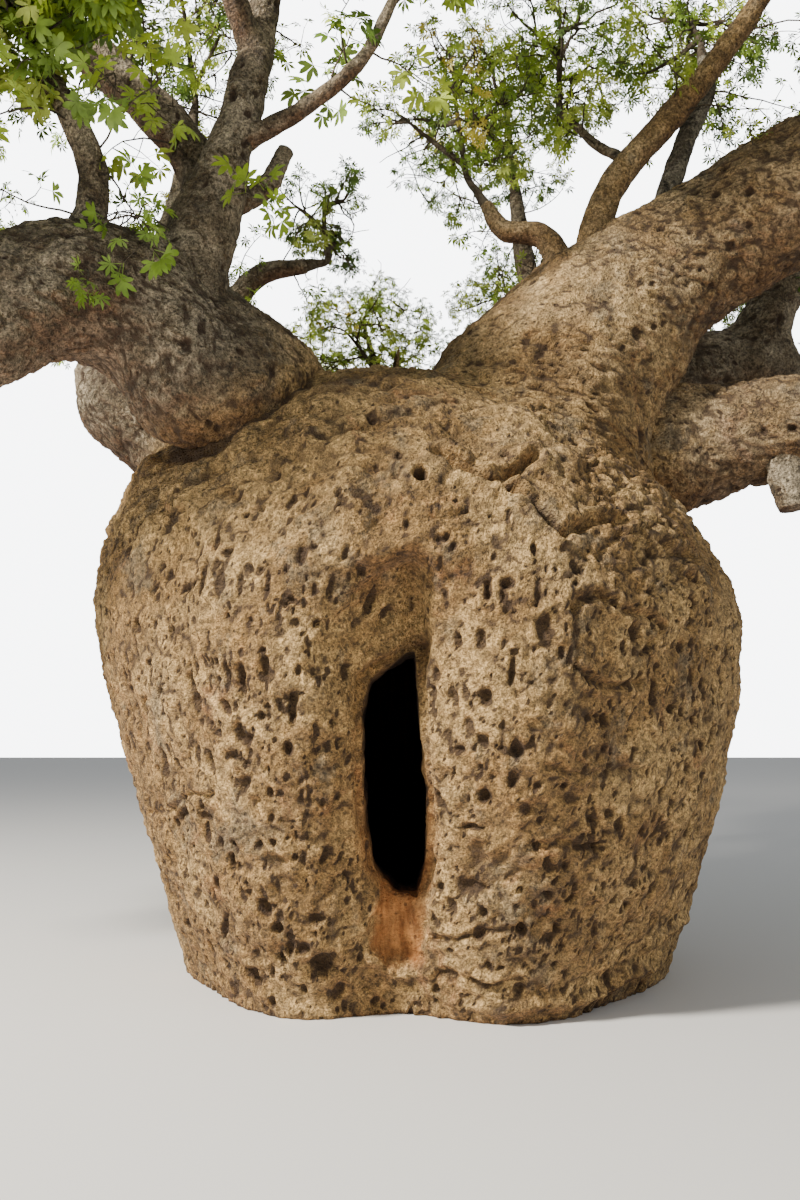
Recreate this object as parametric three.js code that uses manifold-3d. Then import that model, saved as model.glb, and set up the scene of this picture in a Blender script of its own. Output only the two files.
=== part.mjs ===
// An old hollow baobab of the bottle-trunked kind: a short barrel of a trunk with a door-like slit
// into its chamber, thick boughs that leave the shoulders, and an open crown of leafy twigs.
// Places are given in metres and radians and drawn in millimetres. +Z is up, the ground is z = 0,
// and the slit looks along -Y.

import * as THREE from "three";
import { mergeVertices } from "three/addons/utils/BufferGeometryUtils.js";
import Module from "manifold-3d";

const wasm = await Module();
wasm.setup();

const MM = 1000; // millimetres in a metre
const GAP = 0.0004; // the clear gap between two neighbouring solids
const v3 = (x, y, z) => new THREE.Vector3(x, y, z);

// Driving sizes of the trunk. Each waist is [height, radius, how far its middle lies towards +X].
const WAISTS = [
  [-0.7, 1.56, 0.05],
  [0.0, 1.63, 0.05],
  [0.5, 1.85, 0.07],
  [1.2, 2.1, 0.07],
  [1.9, 2.28, 0.04],
  [2.5, 2.355, -0.01],
  [3.0, 2.23, -0.1],
  [3.4, 2.0, -0.18],
  [3.8, 1.6, -0.2],
  [4.1, 1.08, -0.2],
  [4.3, 0.5, -0.2],
  [4.38, 0.02, -0.2],
];
const HEART_Z = 2.3; // the height of the point inside the trunk that its whole skin is seen from
const FARTHEST_SKIN = 4.5; // no part of the skin is farther than this from that point
const TRUNK_AROUND = 52;
const TRUNK_UP = 26;
const SHOULDER_BLEND = 0.34; // how softly a shoulder runs into the barrel

// The shoulders that the boughs leave: from a round inside the barrel to a smaller one outside it.
// Each end is [x, y, z, radius].
const SHOULDERS = [
  [[-0.55, -0.3, 3.1, 0.95], [-1.05, -0.72, 3.82, 0.52]],
  [[-0.8, 0.3, 3.1, 0.85], [-1.5, 0.4, 3.75, 0.42]],
  [[0.5, -0.05, 3.2, 1.1], [1.28, -0.1, 4.5, 0.56]],
  [[0.7, 0.2, 3.2, 0.85], [1.35, 0.25, 3.85, 0.42]],
  [[0.55, 0.6, 3.1, 0.85], [1.2, 0.9, 3.8, 0.42]],
  [[0.0, 0.7, 3.1, 0.9], [-0.1, 1.25, 3.85, 0.38]],
  [[-0.5, 0.6, 3.1, 0.8], [-1.0, 1.2, 3.8, 0.36]],
];

// The upright fold in the front that the slit opens in, and the swollen lobes on both sides of it.
const FOLD_X = -0.13;
const FOLD_WIDTH = 0.34;
const FOLD_DEPTH = 0.3;
const FOLD_FROM_TO = [2.1, 2.9]; // the heights between which the fold dies out
const FOLD_AT_FOOT = 0.55; // how much of its depth is left at the ground
const FRONT_FROM_TO = [-1.4, -0.2]; // the places along Y between which the front gives way to the sides
const LOBE_AT = 0.85; // how far a lobe's middle is from the fold's
const LOBE_WIDTH = 0.4;
const LOBE_HEIGHT = 0.09;

// The swollen foot: low lobes, where roots begin, that die out up the trunk.
const FOOT_LOBES = 7;
const FOOT_SWELL = 0.08;
const FOOT_TOP = 1.0;

// The slit: half-widths to the left and right of a line down the fold, at heights above the ground.
const SLIT_X = -0.13;
const SLIT = [
  [0.7, 0.02, 0.1],
  [0.86, 0.16, 0.15],
  [1.1, 0.2, 0.16],
  [1.4, 0.22, 0.15],
  [1.75, 0.22, 0.11],
  [1.95, 0.18, 0.1],
  [2.12, -0.05, 0.09],
];
const SLIT_OUTSIDE_Y = -2.7;
const SLIT_INSIDE_Y = -0.8;

// The chamber: [height, radius], from its floor to its roof.
const CHAMBER = [
  [0.42, 0],
  [0.42, 1.1],
  [0.9, 1.3],
  [1.7, 1.48],
  [2.4, 1.4],
  [2.95, 0.95],
  [3.2, 0],
];
const CHAMBER_AROUND = 20;

// Boughs and limbs. Each control point is [x, y, z, radius]. A limb's root lies inside its parent,
// which is cut out of it. "sides" and "steps" are the facets round and along it.
const LIMBS = [
  {
    name: "bough_left_front", parents: ["trunk"], sides: 12, steps: 6,
    path: [
      [-0.85, -0.55, 3.62, 0.58], [-1.54, -1.15, 4.27, 0.48], [-2.15, -1.58, 4.44, 0.46],
      [-2.52, -1.8, 4.26, 0.4],
    ],
  },
  {
    name: "bough_left_droop", parents: ["bough_left_front"], sides: 10, steps: 6,
    path: [
      [-2.42, -1.75, 4.29, 0.36], [-2.8, -1.97, 3.98, 0.38], [-3.65, -2.15, 4.2, 0.32],
      [-4.5, -2.1, 4.9, 0.2],
    ],
  },
  {
    name: "limb_left_riser", parents: ["bough_left_front"], sides: 8, steps: 7,
    path: [
      [-1.62, -1.28, 4.46, 0.27], [-1.42, -1.34, 5.1, 0.23], [-1.3, -1.36, 5.5, 0.155],
      [-1.15, -1.25, 6.3, 0.13], [-1.05, -1.1, 7.4, 0.1],
    ],
  },
  {
    name: "limb_left_back", parents: ["bough_left_front", "limb_left_riser"], sides: 8, steps: 5,
    path: [
      [-1.72, -1.1, 4.5, 0.22], [-1.55, -0.95, 5.6, 0.17], [-2.3, -1.1, 6.45, 0.15],
      [-3.15, -1.3, 7.1, 0.1],
    ],
  },
  {
    name: "limb_left_outer", parents: ["bough_left_front"], sides: 6, steps: 4,
    path: [
      [-2.16, -1.66, 4.6, 0.14], [-2.08, -1.72, 5.15, 0.1], [-2.18, -1.8, 5.45, 0.085],
      [-2.35, -1.88, 5.75, 0.06],
    ],
  },
  {
    name: "limb_left_arch", parents: ["limb_left_riser"], sides: 6, steps: 5,
    path: [
      [-1.25, -1.33, 5.62, 0.07], [-0.8, -1.42, 5.82, 0.058], [-0.4, -1.52, 6.1, 0.046],
      [-0.15, -1.6, 6.55, 0.034],
    ],
  },
  {
    name: "stub_left", parents: ["limb_left_riser", "bough_left_front"], sides: 6, steps: 3,
    path: [[-1.4, -1.25, 5.15, 0.08], [-1.08, -1.08, 5.45, 0.075], [-0.95, -1.0, 5.78, 0.06]],
  },
  {
    name: "bough_left_rear", parents: ["trunk"], sides: 12, steps: 5,
    path: [
      [-1.2, 0.35, 3.5, 0.5], [-1.95, 0.45, 4.05, 0.44], [-2.45, 0.55, 4.4, 0.4],
      [-2.6, 0.75, 4.85, 0.32],
    ],
  },
  {
    name: "limb_left_rear", parents: ["bough_left_rear"], sides: 8, steps: 4,
    path: [
      [-2.62, 0.75, 4.65, 0.24], [-2.95, 1.05, 5.4, 0.19], [-3.6, 1.35, 6.0, 0.14],
      [-4.2, 1.55, 6.35, 0.09],
    ],
  },
  {
    name: "limb_left_high", parents: ["bough_left_rear", "limb_left_rear"], sides: 8, steps: 4,
    path: [
      [-2.5, 0.8, 4.7, 0.22], [-2.4, 1.1, 5.7, 0.17], [-2.25, 1.35, 6.7, 0.13],
      [-2.2, 1.5, 7.55, 0.08],
    ],
  },
  {
    name: "limb_middle", parents: ["bough_left_rear"], sides: 6, steps: 5,
    path: [
      [-2.2, 0.52, 4.4, 0.14], [-1.75, 0.6, 5.1, 0.11], [-1.35, 0.6, 5.62, 0.09],
      [-0.95, 0.62, 5.72, 0.06],
    ],
  },
  {
    name: "bough_right_front", parents: ["trunk"], sides: 12, steps: 8,
    path: [
      [0.95, -0.1, 4.1, 0.72], [1.47, -0.15, 4.8, 0.62], [2.3, -0.32, 5.43, 0.51],
      [3.0, -0.58, 5.78, 0.48], [3.55, -0.82, 5.95, 0.4],
    ],
  },
  {
    name: "bough_right_outer", parents: ["bough_right_front"], sides: 8, steps: 4,
    path: [[3.4, -0.76, 5.88, 0.34], [4.1, -1.0, 6.2, 0.25], [4.75, -1.15, 6.75, 0.14]],
  },
  {
    name: "bough_right_fore", parents: ["bough_right_front", "bough_right_outer"], sides: 8, steps: 4,
    path: [[3.2, -0.9, 5.9, 0.26], [3.55, -1.7, 6.25, 0.19], [3.9, -2.5, 6.65, 0.11]],
  },
  {
    name: "limb_fore_right", parents: ["bough_right_front", "bough_right_outer", "bough_right_fore"],
    sides: 6, steps: 4,
    path: [[2.96, -0.56, 6.06, 0.16], [3.2, -1.05, 6.85, 0.12], [2.75, -1.65, 7.5, 0.08]],
  },
  {
    name: "bough_right_low", parents: ["trunk", "bough_right_front"], sides: 12, steps: 7,
    path: [
      [1.25, 0.18, 3.85, 0.42], [2.0, 0.05, 3.96, 0.41], [2.85, -0.3, 3.98, 0.37],
      [3.6, -0.75, 4.12, 0.3], [4.2, -1.05, 4.55, 0.2],
    ],
  },
  {
    name: "stub_right_low", parents: ["bough_right_low"], sides: 7, steps: 2,
    path: [[2.74, -0.26, 3.85, 0.16], [2.76, -0.38, 3.5, 0.13], [2.78, -0.4, 3.3, 0.1]],
  },
  {
    name: "bough_right_rear", parents: ["trunk", "bough_right_low"], sides: 12, steps: 6,
    path: [
      [1.1, 0.85, 3.65, 0.48], [1.85, 1.1, 4.45, 0.45], [2.6, 1.15, 4.92, 0.42],
      [3.25, 1.1, 4.95, 0.32],
    ],
  },
  {
    name: "limb_right_riser", parents: ["bough_right_rear"], sides: 8, steps: 5,
    path: [
      [3.05, 1.08, 4.85, 0.27], [3.25, 1.0, 5.5, 0.23], [3.8, 1.15, 6.3, 0.17],
      [4.4, 1.4, 6.95, 0.1],
    ],
  },
  {
    name: "limb_right_rear", parents: ["bough_right_rear", "limb_right_riser"], sides: 8, steps: 4,
    path: [[3.0, 1.2, 4.85, 0.22], [3.9, 1.75, 4.95, 0.17], [4.5, 2.15, 5.3, 0.1]],
  },
  {
    name: "limb_pale", parents: ["bough_right_front"], sides: 8, steps: 6,
    path: [
      [1.32, -0.18, 5.1, 0.15], [1.55, -0.2, 5.95, 0.12], [2.1, -0.3, 6.6, 0.105],
      [2.62, -0.5, 7.25, 0.085], [2.95, -0.65, 7.8, 0.06],
    ],
  },
  {
    name: "limb_mottled", parents: ["bough_right_front"], sides: 6, steps: 4,
    path: [
      [1.95, -0.1, 5.7, 0.11], [2.2, -0.08, 6.45, 0.085], [2.42, 0.0, 6.95, 0.075],
      [2.5, 0.3, 7.45, 0.05],
    ],
  },
  {
    name: "limb_crooked", parents: ["bough_right_front", "limb_pale"], sides: 6, steps: 6,
    path: [
      [1.22, -0.02, 5.15, 0.12], [1.05, 0.05, 5.68, 0.1], [0.72, 0.1, 5.78, 0.085],
      [0.58, 0.1, 6.0, 0.05],
    ],
  },
  {
    name: "limb_inner", parents: ["limb_pale"], sides: 6, steps: 3,
    path: [[1.75, -0.22, 6.18, 0.05], [1.5, -0.05, 6.42, 0.042], [1.35, 0.1, 6.7, 0.032]],
  },
  {
    name: "bough_rear", parents: ["trunk"], sides: 10, steps: 4,
    path: [[-0.05, 1.05, 3.6, 0.46], [-0.1, 1.9, 4.3, 0.36], [-0.15, 2.75, 4.75, 0.25]],
  },
  {
    name: "limb_rear_mid", parents: ["bough_rear"], sides: 6, steps: 3,
    path: [[-0.1, 2.0, 4.4, 0.2], [0.42, 2.7, 4.95, 0.15], [0.95, 3.4, 5.65, 0.09]],
  },
  {
    name: "bough_rear_left", parents: ["trunk", "bough_rear"], sides: 10, steps: 5,
    path: [
      [-0.85, 1.0, 3.6, 0.42], [-1.5, 1.95, 4.5, 0.3], [-2.1, 2.7, 5.4, 0.2],
      [-2.5, 3.15, 6.0, 0.12],
    ],
  },
  {
    name: "bough_rear_right", parents: ["trunk", "bough_rear", "bough_right_rear"], sides: 10, steps: 5,
    path: [[0.7, 1.0, 3.6, 0.42], [1.25, 2.0, 4.5, 0.31], [1.95, 2.8, 5.3, 0.21], [2.6, 3.3, 5.9, 0.12]],
  },
  {
    name: "limb_rear_high", parents: ["bough_rear_right"], sides: 6, steps: 4,
    path: [[1.5, 2.25, 4.8, 0.17], [1.3, 2.15, 5.8, 0.13], [1.15, 2.2, 6.7, 0.1], [1.1, 2.25, 7.3, 0.07]],
  },
  {
    name: "limb_fore_left", parents: ["bough_left_droop"], sides: 6, steps: 4,
    path: [[-3.5, -2.15, 4.2, 0.18], [-3.75, -2.75, 4.85, 0.13], [-3.8, -3.1, 5.4, 0.09]],
  },
  {
    name: "limb_fore_high", parents: ["limb_left_riser"], sides: 6, steps: 3,
    path: [[-1.15, -1.25, 6.35, 0.1], [-1.4, -1.8, 6.95, 0.08], [-1.5, -2.3, 7.4, 0.06]],
  },
];

// The masses of foliage. Each grows from the tip of one limb and keeps to the ball of its reach
// round its middle, and to its own side of the planes half-way to the other masses.
const MASSES = [
  { name: "foliage_left_end", limb: "bough_left_droop", middle: [-5.15, -2.05, 5.75], reach: 1.3 },
  { name: "foliage_left_top", limb: "limb_left_riser", middle: [-0.95, -0.75, 8.55], reach: 1.25 },
  { name: "foliage_left_high", limb: "limb_left_back", middle: [-3.75, -1.45, 7.95], reach: 1.3 },
  { name: "foliage_left_near", limb: "limb_left_outer", middle: [-2.45, -2.25, 6.3], reach: 0.95 },
  { name: "foliage_arch", limb: "limb_left_arch", middle: [0.1, -1.85, 7.35], reach: 1.0 },
  { name: "foliage_left_rear", limb: "limb_left_rear", middle: [-4.85, 1.6, 7.0], reach: 1.35 },
  { name: "foliage_left_crown", limb: "limb_left_high", middle: [-2.3, 1.3, 8.6], reach: 1.25 },
  { name: "foliage_middle", limb: "limb_middle", middle: [-0.82, 0.75, 6.2], reach: 0.62 },
  { name: "foliage_right_end", limb: "bough_right_outer", middle: [5.2, -1.2, 7.5], reach: 1.3 },
  { name: "foliage_right_fore", limb: "bough_right_fore", middle: [4.15, -3.1, 7.35], reach: 1.2 },
  { name: "foliage_fore_right", limb: "limb_fore_right", middle: [2.1, -2.2, 8.1], reach: 1.15 },
  { name: "foliage_right_low", limb: "bough_right_low", middle: [4.85, -1.35, 5.25], reach: 1.05 },
  { name: "foliage_right_high", limb: "limb_right_riser", middle: [4.85, 1.6, 7.85], reach: 1.3 },
  { name: "foliage_right_rear", limb: "limb_right_rear", middle: [5.1, 2.55, 5.85], reach: 1.1 },
  { name: "foliage_right_top", limb: "limb_pale", middle: [3.15, -0.75, 8.75], reach: 1.25 },
  { name: "foliage_right_crown", limb: "limb_mottled", middle: [2.65, 1.1, 8.15], reach: 1.1 },
  { name: "foliage_crooked", limb: "limb_crooked", middle: [0.32, 0.1, 6.75], reach: 1.0 },
  { name: "foliage_inner", limb: "limb_inner", middle: [1.25, 0.2, 7.45], reach: 0.9 },
  { name: "foliage_rear", limb: "bough_rear", middle: [-0.55, 3.55, 6.05], reach: 1.2 },
  { name: "foliage_rear_mid", limb: "limb_rear_mid", middle: [1.4, 3.9, 6.6], reach: 1.2 },
  { name: "foliage_rear_left", limb: "bough_rear_left", middle: [-2.95, 3.6, 6.85], reach: 1.3 },
  { name: "foliage_rear_right", limb: "bough_rear_right", middle: [3.35, 3.85, 6.7], reach: 1.25 },
  { name: "foliage_rear_high", limb: "limb_rear_high", middle: [1.0, 2.3, 8.3], reach: 1.2 },
  { name: "foliage_fore_left", limb: "limb_fore_left", middle: [-3.9, -3.4, 6.3], reach: 1.15 },
  { name: "foliage_fore_high", limb: "limb_fore_high", middle: [-1.55, -2.75, 8.15], reach: 1.05 },
];

// The growing rule, which every mass follows with a seed of its own.
const GOLDEN_ANGLE = Math.PI * (3 - Math.sqrt(5));
const TWIGS_PER_METRE = 4.2; // twigs that leave the stem, for each metre of the mass's reach
const SIDE_TWIGS = 2; // side twigs that leave each twig
const STEM_RADIUS = 0.05;
const STEM_BEND = 0.35; // how far the stem runs straight on, as a share of the way to the middle
const TWIG_RADIUS = 0.024;
const TWIG_RISE = [-0.5, 1.0]; // how steeply the lowest and the highest twig point, in radians
const TWIG_ELBOW = 0.55; // where along a twig its elbow is
const TWIG_BOW = 0.12; // how far the elbow stands off, as a share of the twig's length
const SIDE_RADIUS = 0.017;
const SIDE_LENGTH = [0.12, 0.24]; // the shortest and the longest side twig, as shares of the reach
const SIDE_SPREAD = 1.1; // how much more a side twig points across its twig than outwards
const ROOT_SHARE = 0.45; // a twig's root is this much of its radius, so that its parent holds it whole
const LEAF_LENGTH = 0.54; // as a share of the mass's reach
const LEAF_WIDTH = 0.54; // as a share of the leaf's length
const LEAF_THICKNESS = 0.034; // as a share of the leaf's length
const LEAF_ROLL = 1.0; // the most that a leaf is rolled from level, in radians
const ROOM_STEP = 0.05; // the spacing of the spots that a twig or leaf is tested at
const LIMB_CLEARANCE = 0.02;
const SPACE_CLEARANCE = 0.01;

const BARK = new THREE.MeshStandardMaterial({ color: 0xa58f74, roughness: 0.92, metalness: 0 });
const PALE_BARK = new THREE.MeshStandardMaterial({ color: 0x9b8f80, roughness: 0.85, metalness: 0 });
const LEAF = new THREE.MeshStandardMaterial({ color: 0x7f9c2f, roughness: 0.6, metalness: 0 });

// Random numbers from 0 to 1, the same ones for the same seed.
function seeded(seed) {
  let state = seed >>> 0;
  return () => {
    state = (state + 0x6d2b79f5) >>> 0;
    let t = Math.imul(state ^ (state >>> 15), state | 1);
    t ^= t + Math.imul(t ^ (t >>> 7), t | 61);
    return ((t ^ (t >>> 14)) >>> 0) / 4294967296;
  };
}

// A closed geometry, given in metres, as a solid in millimetres.
function solidOf(geometry) {
  const bare = geometry.index ? geometry.toNonIndexed() : geometry.clone();
  bare.deleteAttribute("normal");
  bare.deleteAttribute("uv");
  bare.scale(MM, MM, MM);
  const merged = mergeVertices(bare, 1e-3);
  return new wasm.Manifold(
    new wasm.Mesh({
      numProp: 3,
      vertProperties: merged.attributes.position.array,
      triVerts: new Uint32Array(merged.index.array),
    }),
  );
}

// The solid's largest body, without the scraps that a cut can leave.
function largestBody(solid) {
  return solid.decompose().sort((a, b) => b.volume() - a.volume())[0];
}

function meshOf(solid, name, material) {
  const made = solid.getMesh();
  const positions = new Float32Array(made.numVert * 3);
  for (let i = 0; i < made.numVert; i++) {
    positions.set(made.vertProperties.subarray(i * made.numProp, i * made.numProp + 3), i * 3);
  }
  const geometry = new THREE.BufferGeometry();
  geometry.setAttribute("position", new THREE.BufferAttribute(positions, 3));
  geometry.setIndex(new THREE.BufferAttribute(made.triVerts, 1));
  geometry.computeVertexNormals();
  const mesh = new THREE.Mesh(geometry, material);
  mesh.name = name;
  return mesh;
}

// The trunk's radius and the shift of its middle at a height, on a smooth curve through WAISTS.
const WAIST_CURVE = new THREE.CatmullRomCurve3(WAISTS.map((w) => v3(...w)), false, "centripetal");
const WAIST_TABLE = WAIST_CURVE.getPoints(240);
function waistAt(height) {
  const after = WAIST_TABLE.findIndex((p) => p.x > height);
  if (after < 0) return [0, WAISTS.at(-1)[2]];
  if (after === 0) return [WAISTS[0][1], WAISTS[0][2]];
  const [low, high] = [WAIST_TABLE[after - 1], WAIST_TABLE[after]];
  const share = (height - low.x) / (high.x - low.x);
  return [low.y + (high.y - low.y) * share, low.z + (high.z - low.z) * share];
}

// From 1 at "low" and below, smoothly to 0 at "high" and above.
const fade = (x, low, high) => 1 - THREE.MathUtils.smoothstep(x, low, high);

// The smaller of two distances, with the corner between them rounded over "blend".
function softMin(a, b, blend) {
  const share = THREE.MathUtils.clamp(0.5 + (0.5 * (b - a)) / blend, 0, 1);
  return b + (a - b) * share - blend * share * (1 - share);
}

// How far the front stands in at the fold, less how far its lobes stand out.
function foldDepth(x, y, z) {
  const across = x - FOLD_X;
  const low = 1 - (1 - FOLD_AT_FOOT) * fade(z, 0, FOOT_TOP);
  const strength = low * fade(y, ...FRONT_FROM_TO) * fade(z, ...FOLD_FROM_TO);
  const fold = FOLD_DEPTH * Math.exp(-((across / FOLD_WIDTH) ** 2));
  const lobes = LOBE_HEIGHT * Math.exp(-(((Math.abs(across) - LOBE_AT) / LOBE_WIDTH) ** 2));
  return (fold - lobes) * strength;
}

function footSwell(x, y, z) {
  const lobe = 0.5 - 0.5 * Math.sin(FOOT_LOBES * Math.atan2(y, x));
  return FOOT_SWELL * lobe * fade(z, 0, FOOT_TOP);
}

// Roughly how far a point lies outside the trunk's skin.
function outsideTrunk(p) {
  const [radius, shift] = waistAt(p.z);
  const skin = radius - foldDepth(p.x, p.y, p.z) + footSwell(p.x, p.y, p.z);
  let distance = (Math.hypot(p.x - shift, p.y) - skin) * 0.9;
  for (const [inner, outer] of SHOULDERS) {
    const start = v3(...inner);
    const axis = v3(...outer).sub(start);
    const along = THREE.MathUtils.clamp(p.clone().sub(start).dot(axis) / axis.lengthSq(), 0, 1);
    const round = inner[3] + (outer[3] - inner[3]) * along;
    const away = p.distanceTo(start.addScaledVector(axis, along)) - round;
    distance = softMin(distance, away, SHOULDER_BLEND);
  }
  return distance;
}

// The trunk's whole skin, moved out by "swell": a ball whose points are pushed out to the skin.
function trunkSkin(swell) {
  const ball = new THREE.SphereGeometry(1, TRUNK_AROUND, TRUNK_UP);
  ball.rotateX(Math.PI / 2);
  const heart = v3(0, 0, HEART_Z);
  const points = ball.attributes.position;
  for (let i = 0; i < points.count; i++) {
    const direction = v3().fromBufferAttribute(points, i).normalize();
    let [inside, outside] = [0, FARTHEST_SKIN];
    for (let halving = 0; halving < 26; halving++) {
      const middle = (inside + outside) / 2;
      if (outsideTrunk(heart.clone().addScaledVector(direction, middle)) < 0) inside = middle;
      else outside = middle;
    }
    const p = heart.clone().addScaledVector(direction, inside + swell);
    points.setXYZ(i, p.x, p.y, p.z);
  }
  return solidOf(ball);
}

function slitSolid() {
  const outline = new THREE.Shape([
    ...SLIT.map(([z, , right]) => new THREE.Vector2(SLIT_X + right, z)),
    ...SLIT.map(([z, left]) => new THREE.Vector2(SLIT_X - left, z)).reverse(),
  ]);
  const depth = SLIT_INSIDE_Y - SLIT_OUTSIDE_Y;
  const cut = new THREE.ExtrudeGeometry(outline, { depth, bevelEnabled: false });
  cut.rotateX(Math.PI / 2);
  cut.translate(0, SLIT_INSIDE_Y, 0);
  return solidOf(cut);
}

function chamberSolid() {
  const profile = CHAMBER.map(([height, radius]) => new THREE.Vector2(radius, height));
  const chamber = new THREE.LatheGeometry(profile, CHAMBER_AROUND);
  chamber.rotateX(Math.PI / 2);
  return solidOf(chamber);
}

function groundSolid() {
  const [side, depth] = [8, 2];
  const below = new THREE.BoxGeometry(side, side, depth);
  below.translate(0, 0, -depth / 2);
  return solidOf(below);
}

const SWOLLEN_TRUNK = trunkSkin(GAP * 1.6);
function trunkSolid() {
  const skin = trunkSkin(0);
  return largestBody(skin.subtract(groundSolid()).subtract(chamberSolid()).subtract(slitSolid()));
}

// A cylinder bent along a path of [x, y, z, radius] points, whose radius is swollen by "swell".
// "ends" lengthens it at its tip by that much.
function bentCylinder(path, sides, steps, swell = 0, ends = 0) {
  const spots = path.map(([x, y, z]) => v3(x, y, z));
  const tipWay = spots.at(-1).clone().sub(spots.at(-2)).normalize();
  spots.at(-1).addScaledVector(tipWay, ends);
  const curve = new THREE.CatmullRomCurve3(spots, false, "centripetal");
  const frames = curve.computeFrenetFrames(steps, false);
  const round = new THREE.CylinderGeometry(1, 1, 1, sides, steps);
  const points = round.attributes.position;
  for (let i = 0; i < points.count; i++) {
    const step = Math.round((points.getY(i) + 0.5) * steps);
    const along = step / steps;
    const spot = curve.getUtoTmapping(along) * (path.length - 1);
    const before = Math.min(Math.floor(spot), path.length - 2);
    const share = spot - before;
    const radius = path[before][3] * (1 - share) + path[before + 1][3] * share + swell;
    const p = curve
      .getPointAt(along)
      .addScaledVector(frames.normals[step], points.getZ(i) * radius)
      .addScaledVector(frames.binormals[step], points.getX(i) * radius);
    points.setXYZ(i, p.x, p.y, p.z);
  }
  return { solid: solidOf(round), tip: curve.getPointAt(1), way: frames.tangents[steps] };
}

// Each limb as a solid, cut clear of its parents, with its tip and the way it points there.
function growLimbs() {
  const grown = new Map();
  const swollen = new Map([["trunk", SWOLLEN_TRUNK]]);
  for (const { name, parents, path, sides, steps } of LIMBS) {
    const { solid, tip, way } = bentCylinder(path, sides, steps);
    const clear = parents.reduce((left, parent) => left.subtract(swollen.get(parent)), solid);
    grown.set(name, { solid: largestBody(clear), tip, way, tipRadius: path.at(-1)[3] });
    swollen.set(name, bentCylinder(path, sides, steps, GAP, GAP).solid);
  }
  return grown;
}

// Spots every ROOM_STEP along a line of [x, y, z, radius] points, each with its radius.
function spotsAlong(path) {
  const spots = [];
  for (let i = 0; i < path.length - 1; i++) {
    const [from, to] = [path[i], path[i + 1]];
    const length = Math.hypot(to[0] - from[0], to[1] - from[1], to[2] - from[2]);
    const count = Math.ceil(length / ROOM_STEP);
    for (let k = 0; k <= count; k++) {
      spots.push(from.map((value, axis) => value + ((to[axis] - value) * k) / count));
    }
  }
  return spots;
}

function pathPoint(p, radius) {
  return [p.x, p.y, p.z, radius];
}

// The stem of a mass, from its limb's tip through a bend to a head above the middle of the mass.
function stemOf(mass, limb) {
  const middle = v3(...mass.middle);
  const foot = limb.tip.clone().addScaledVector(limb.way, GAP);
  const bend = foot.clone().addScaledVector(limb.way, middle.distanceTo(foot) * STEM_BEND);
  const head = middle.clone().add(v3(0, 0, mass.reach * (1 - LEAF_LENGTH * 1.3)));
  const radius = Math.min(STEM_RADIUS, limb.tipRadius * 0.8);
  return [pathPoint(foot, radius), pathPoint(bend, radius * 0.8), pathPoint(head, TWIG_RADIUS)];
}

// True if a round of radius "room" at a point is in the mass's own space.
function inSpace(mass, p, room) {
  const middle = v3(...mass.middle);
  if (p.distanceTo(middle) > mass.reach - room) return false;
  return MASSES.every((other) => {
    if (other === mass) return true;
    const way = v3(...other.middle).sub(middle);
    const half = way.length() / 2;
    return p.clone().sub(middle).dot(way.normalize()) < half - SPACE_CLEARANCE - room;
  });
}

// True if a piece along a path keeps to the mass's space and misses every obstacle.
function fits(mass, obstacles, path) {
  return spotsAlong(path).every(([x, y, z, room]) => {
    const p = v3(x, y, z);
    if (!inSpace(mass, p, room)) return false;
    return obstacles.every(
      ({ of, spot }) =>
        of === mass.name ||
        Math.hypot(x - spot[0], y - spot[1], z - spot[2]) > spot[3] + room + LIMB_CLEARANCE,
    );
  });
}

// A unit vector across "way", turned round it by "turn".
function across(way, turn) {
  const side = Math.abs(way.z) < 0.9 ? v3(0, 0, 1) : v3(1, 0, 0);
  return side.cross(way).normalize().applyAxisAngle(way, turn);
}

// The path of a leaf that runs on from a twig's end along "way", with half its width at each point.
function leafPath(twig, way, length) {
  const root = v3(...twig.at(-1));
  const middle = root.clone().addScaledVector(way, length / 2);
  const tip = root.clone().addScaledVector(way, length);
  return [pathPoint(middle, (length * LEAF_WIDTH) / 2), pathPoint(tip, 0)];
}

// A three-sided twig along a path, fused with the leaf that its end widens into. The leaf runs along
// "way", rolled by "roll" from level. It is widest half-way along and ends in a point.
function twigSolid(twig, way, length, roll) {
  const rings = [...twig, ...leafPath(twig, way, length)];
  const steps = rings.length - 1;
  const leafSide = across(way, roll);
  const cone = new THREE.ConeGeometry(1, 1, 3, steps);
  const points = cone.attributes.position;
  for (let i = 0; i < points.count; i++) {
    const step = Math.round((points.getY(i) + 0.5) * steps);
    const [before, after] = [rings[Math.max(step - 1, 0)], rings[Math.min(step + 1, steps)]];
    const along = v3(...after).sub(v3(...before)).normalize();
    const side = leafSide.clone().addScaledVector(along, -leafSide.dot(along)).normalize();
    const up = side.clone().cross(along);
    const radius = rings[step][3];
    const isLeaf = step === steps - 1;
    const halfWidth = isLeaf ? radius / Math.cos(Math.PI / 6) : radius;
    const height = isLeaf ? (length * LEAF_THICKNESS) / 1.5 : radius;
    const corner = new THREE.Vector2(points.getX(i), points.getZ(i)).normalize();
    const p = v3(...rings[step])
      .addScaledVector(side, corner.x * halfWidth)
      .addScaledVector(up, corner.y * height);
    points.setXYZ(i, p.x, p.y, p.z);
  }
  return solidOf(cone);
}

// The way from the middle of a mass to the spot on its ball that its twig number k grows to.
function twigWay(k, twigs, turned) {
  const turn = k * GOLDEN_ANGLE + turned;
  const rise = THREE.MathUtils.lerp(...TWIG_RISE, (k + 0.5) / twigs);
  return v3(Math.cos(turn) * Math.cos(rise), Math.sin(turn) * Math.cos(rise), Math.sin(rise));
}

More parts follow.
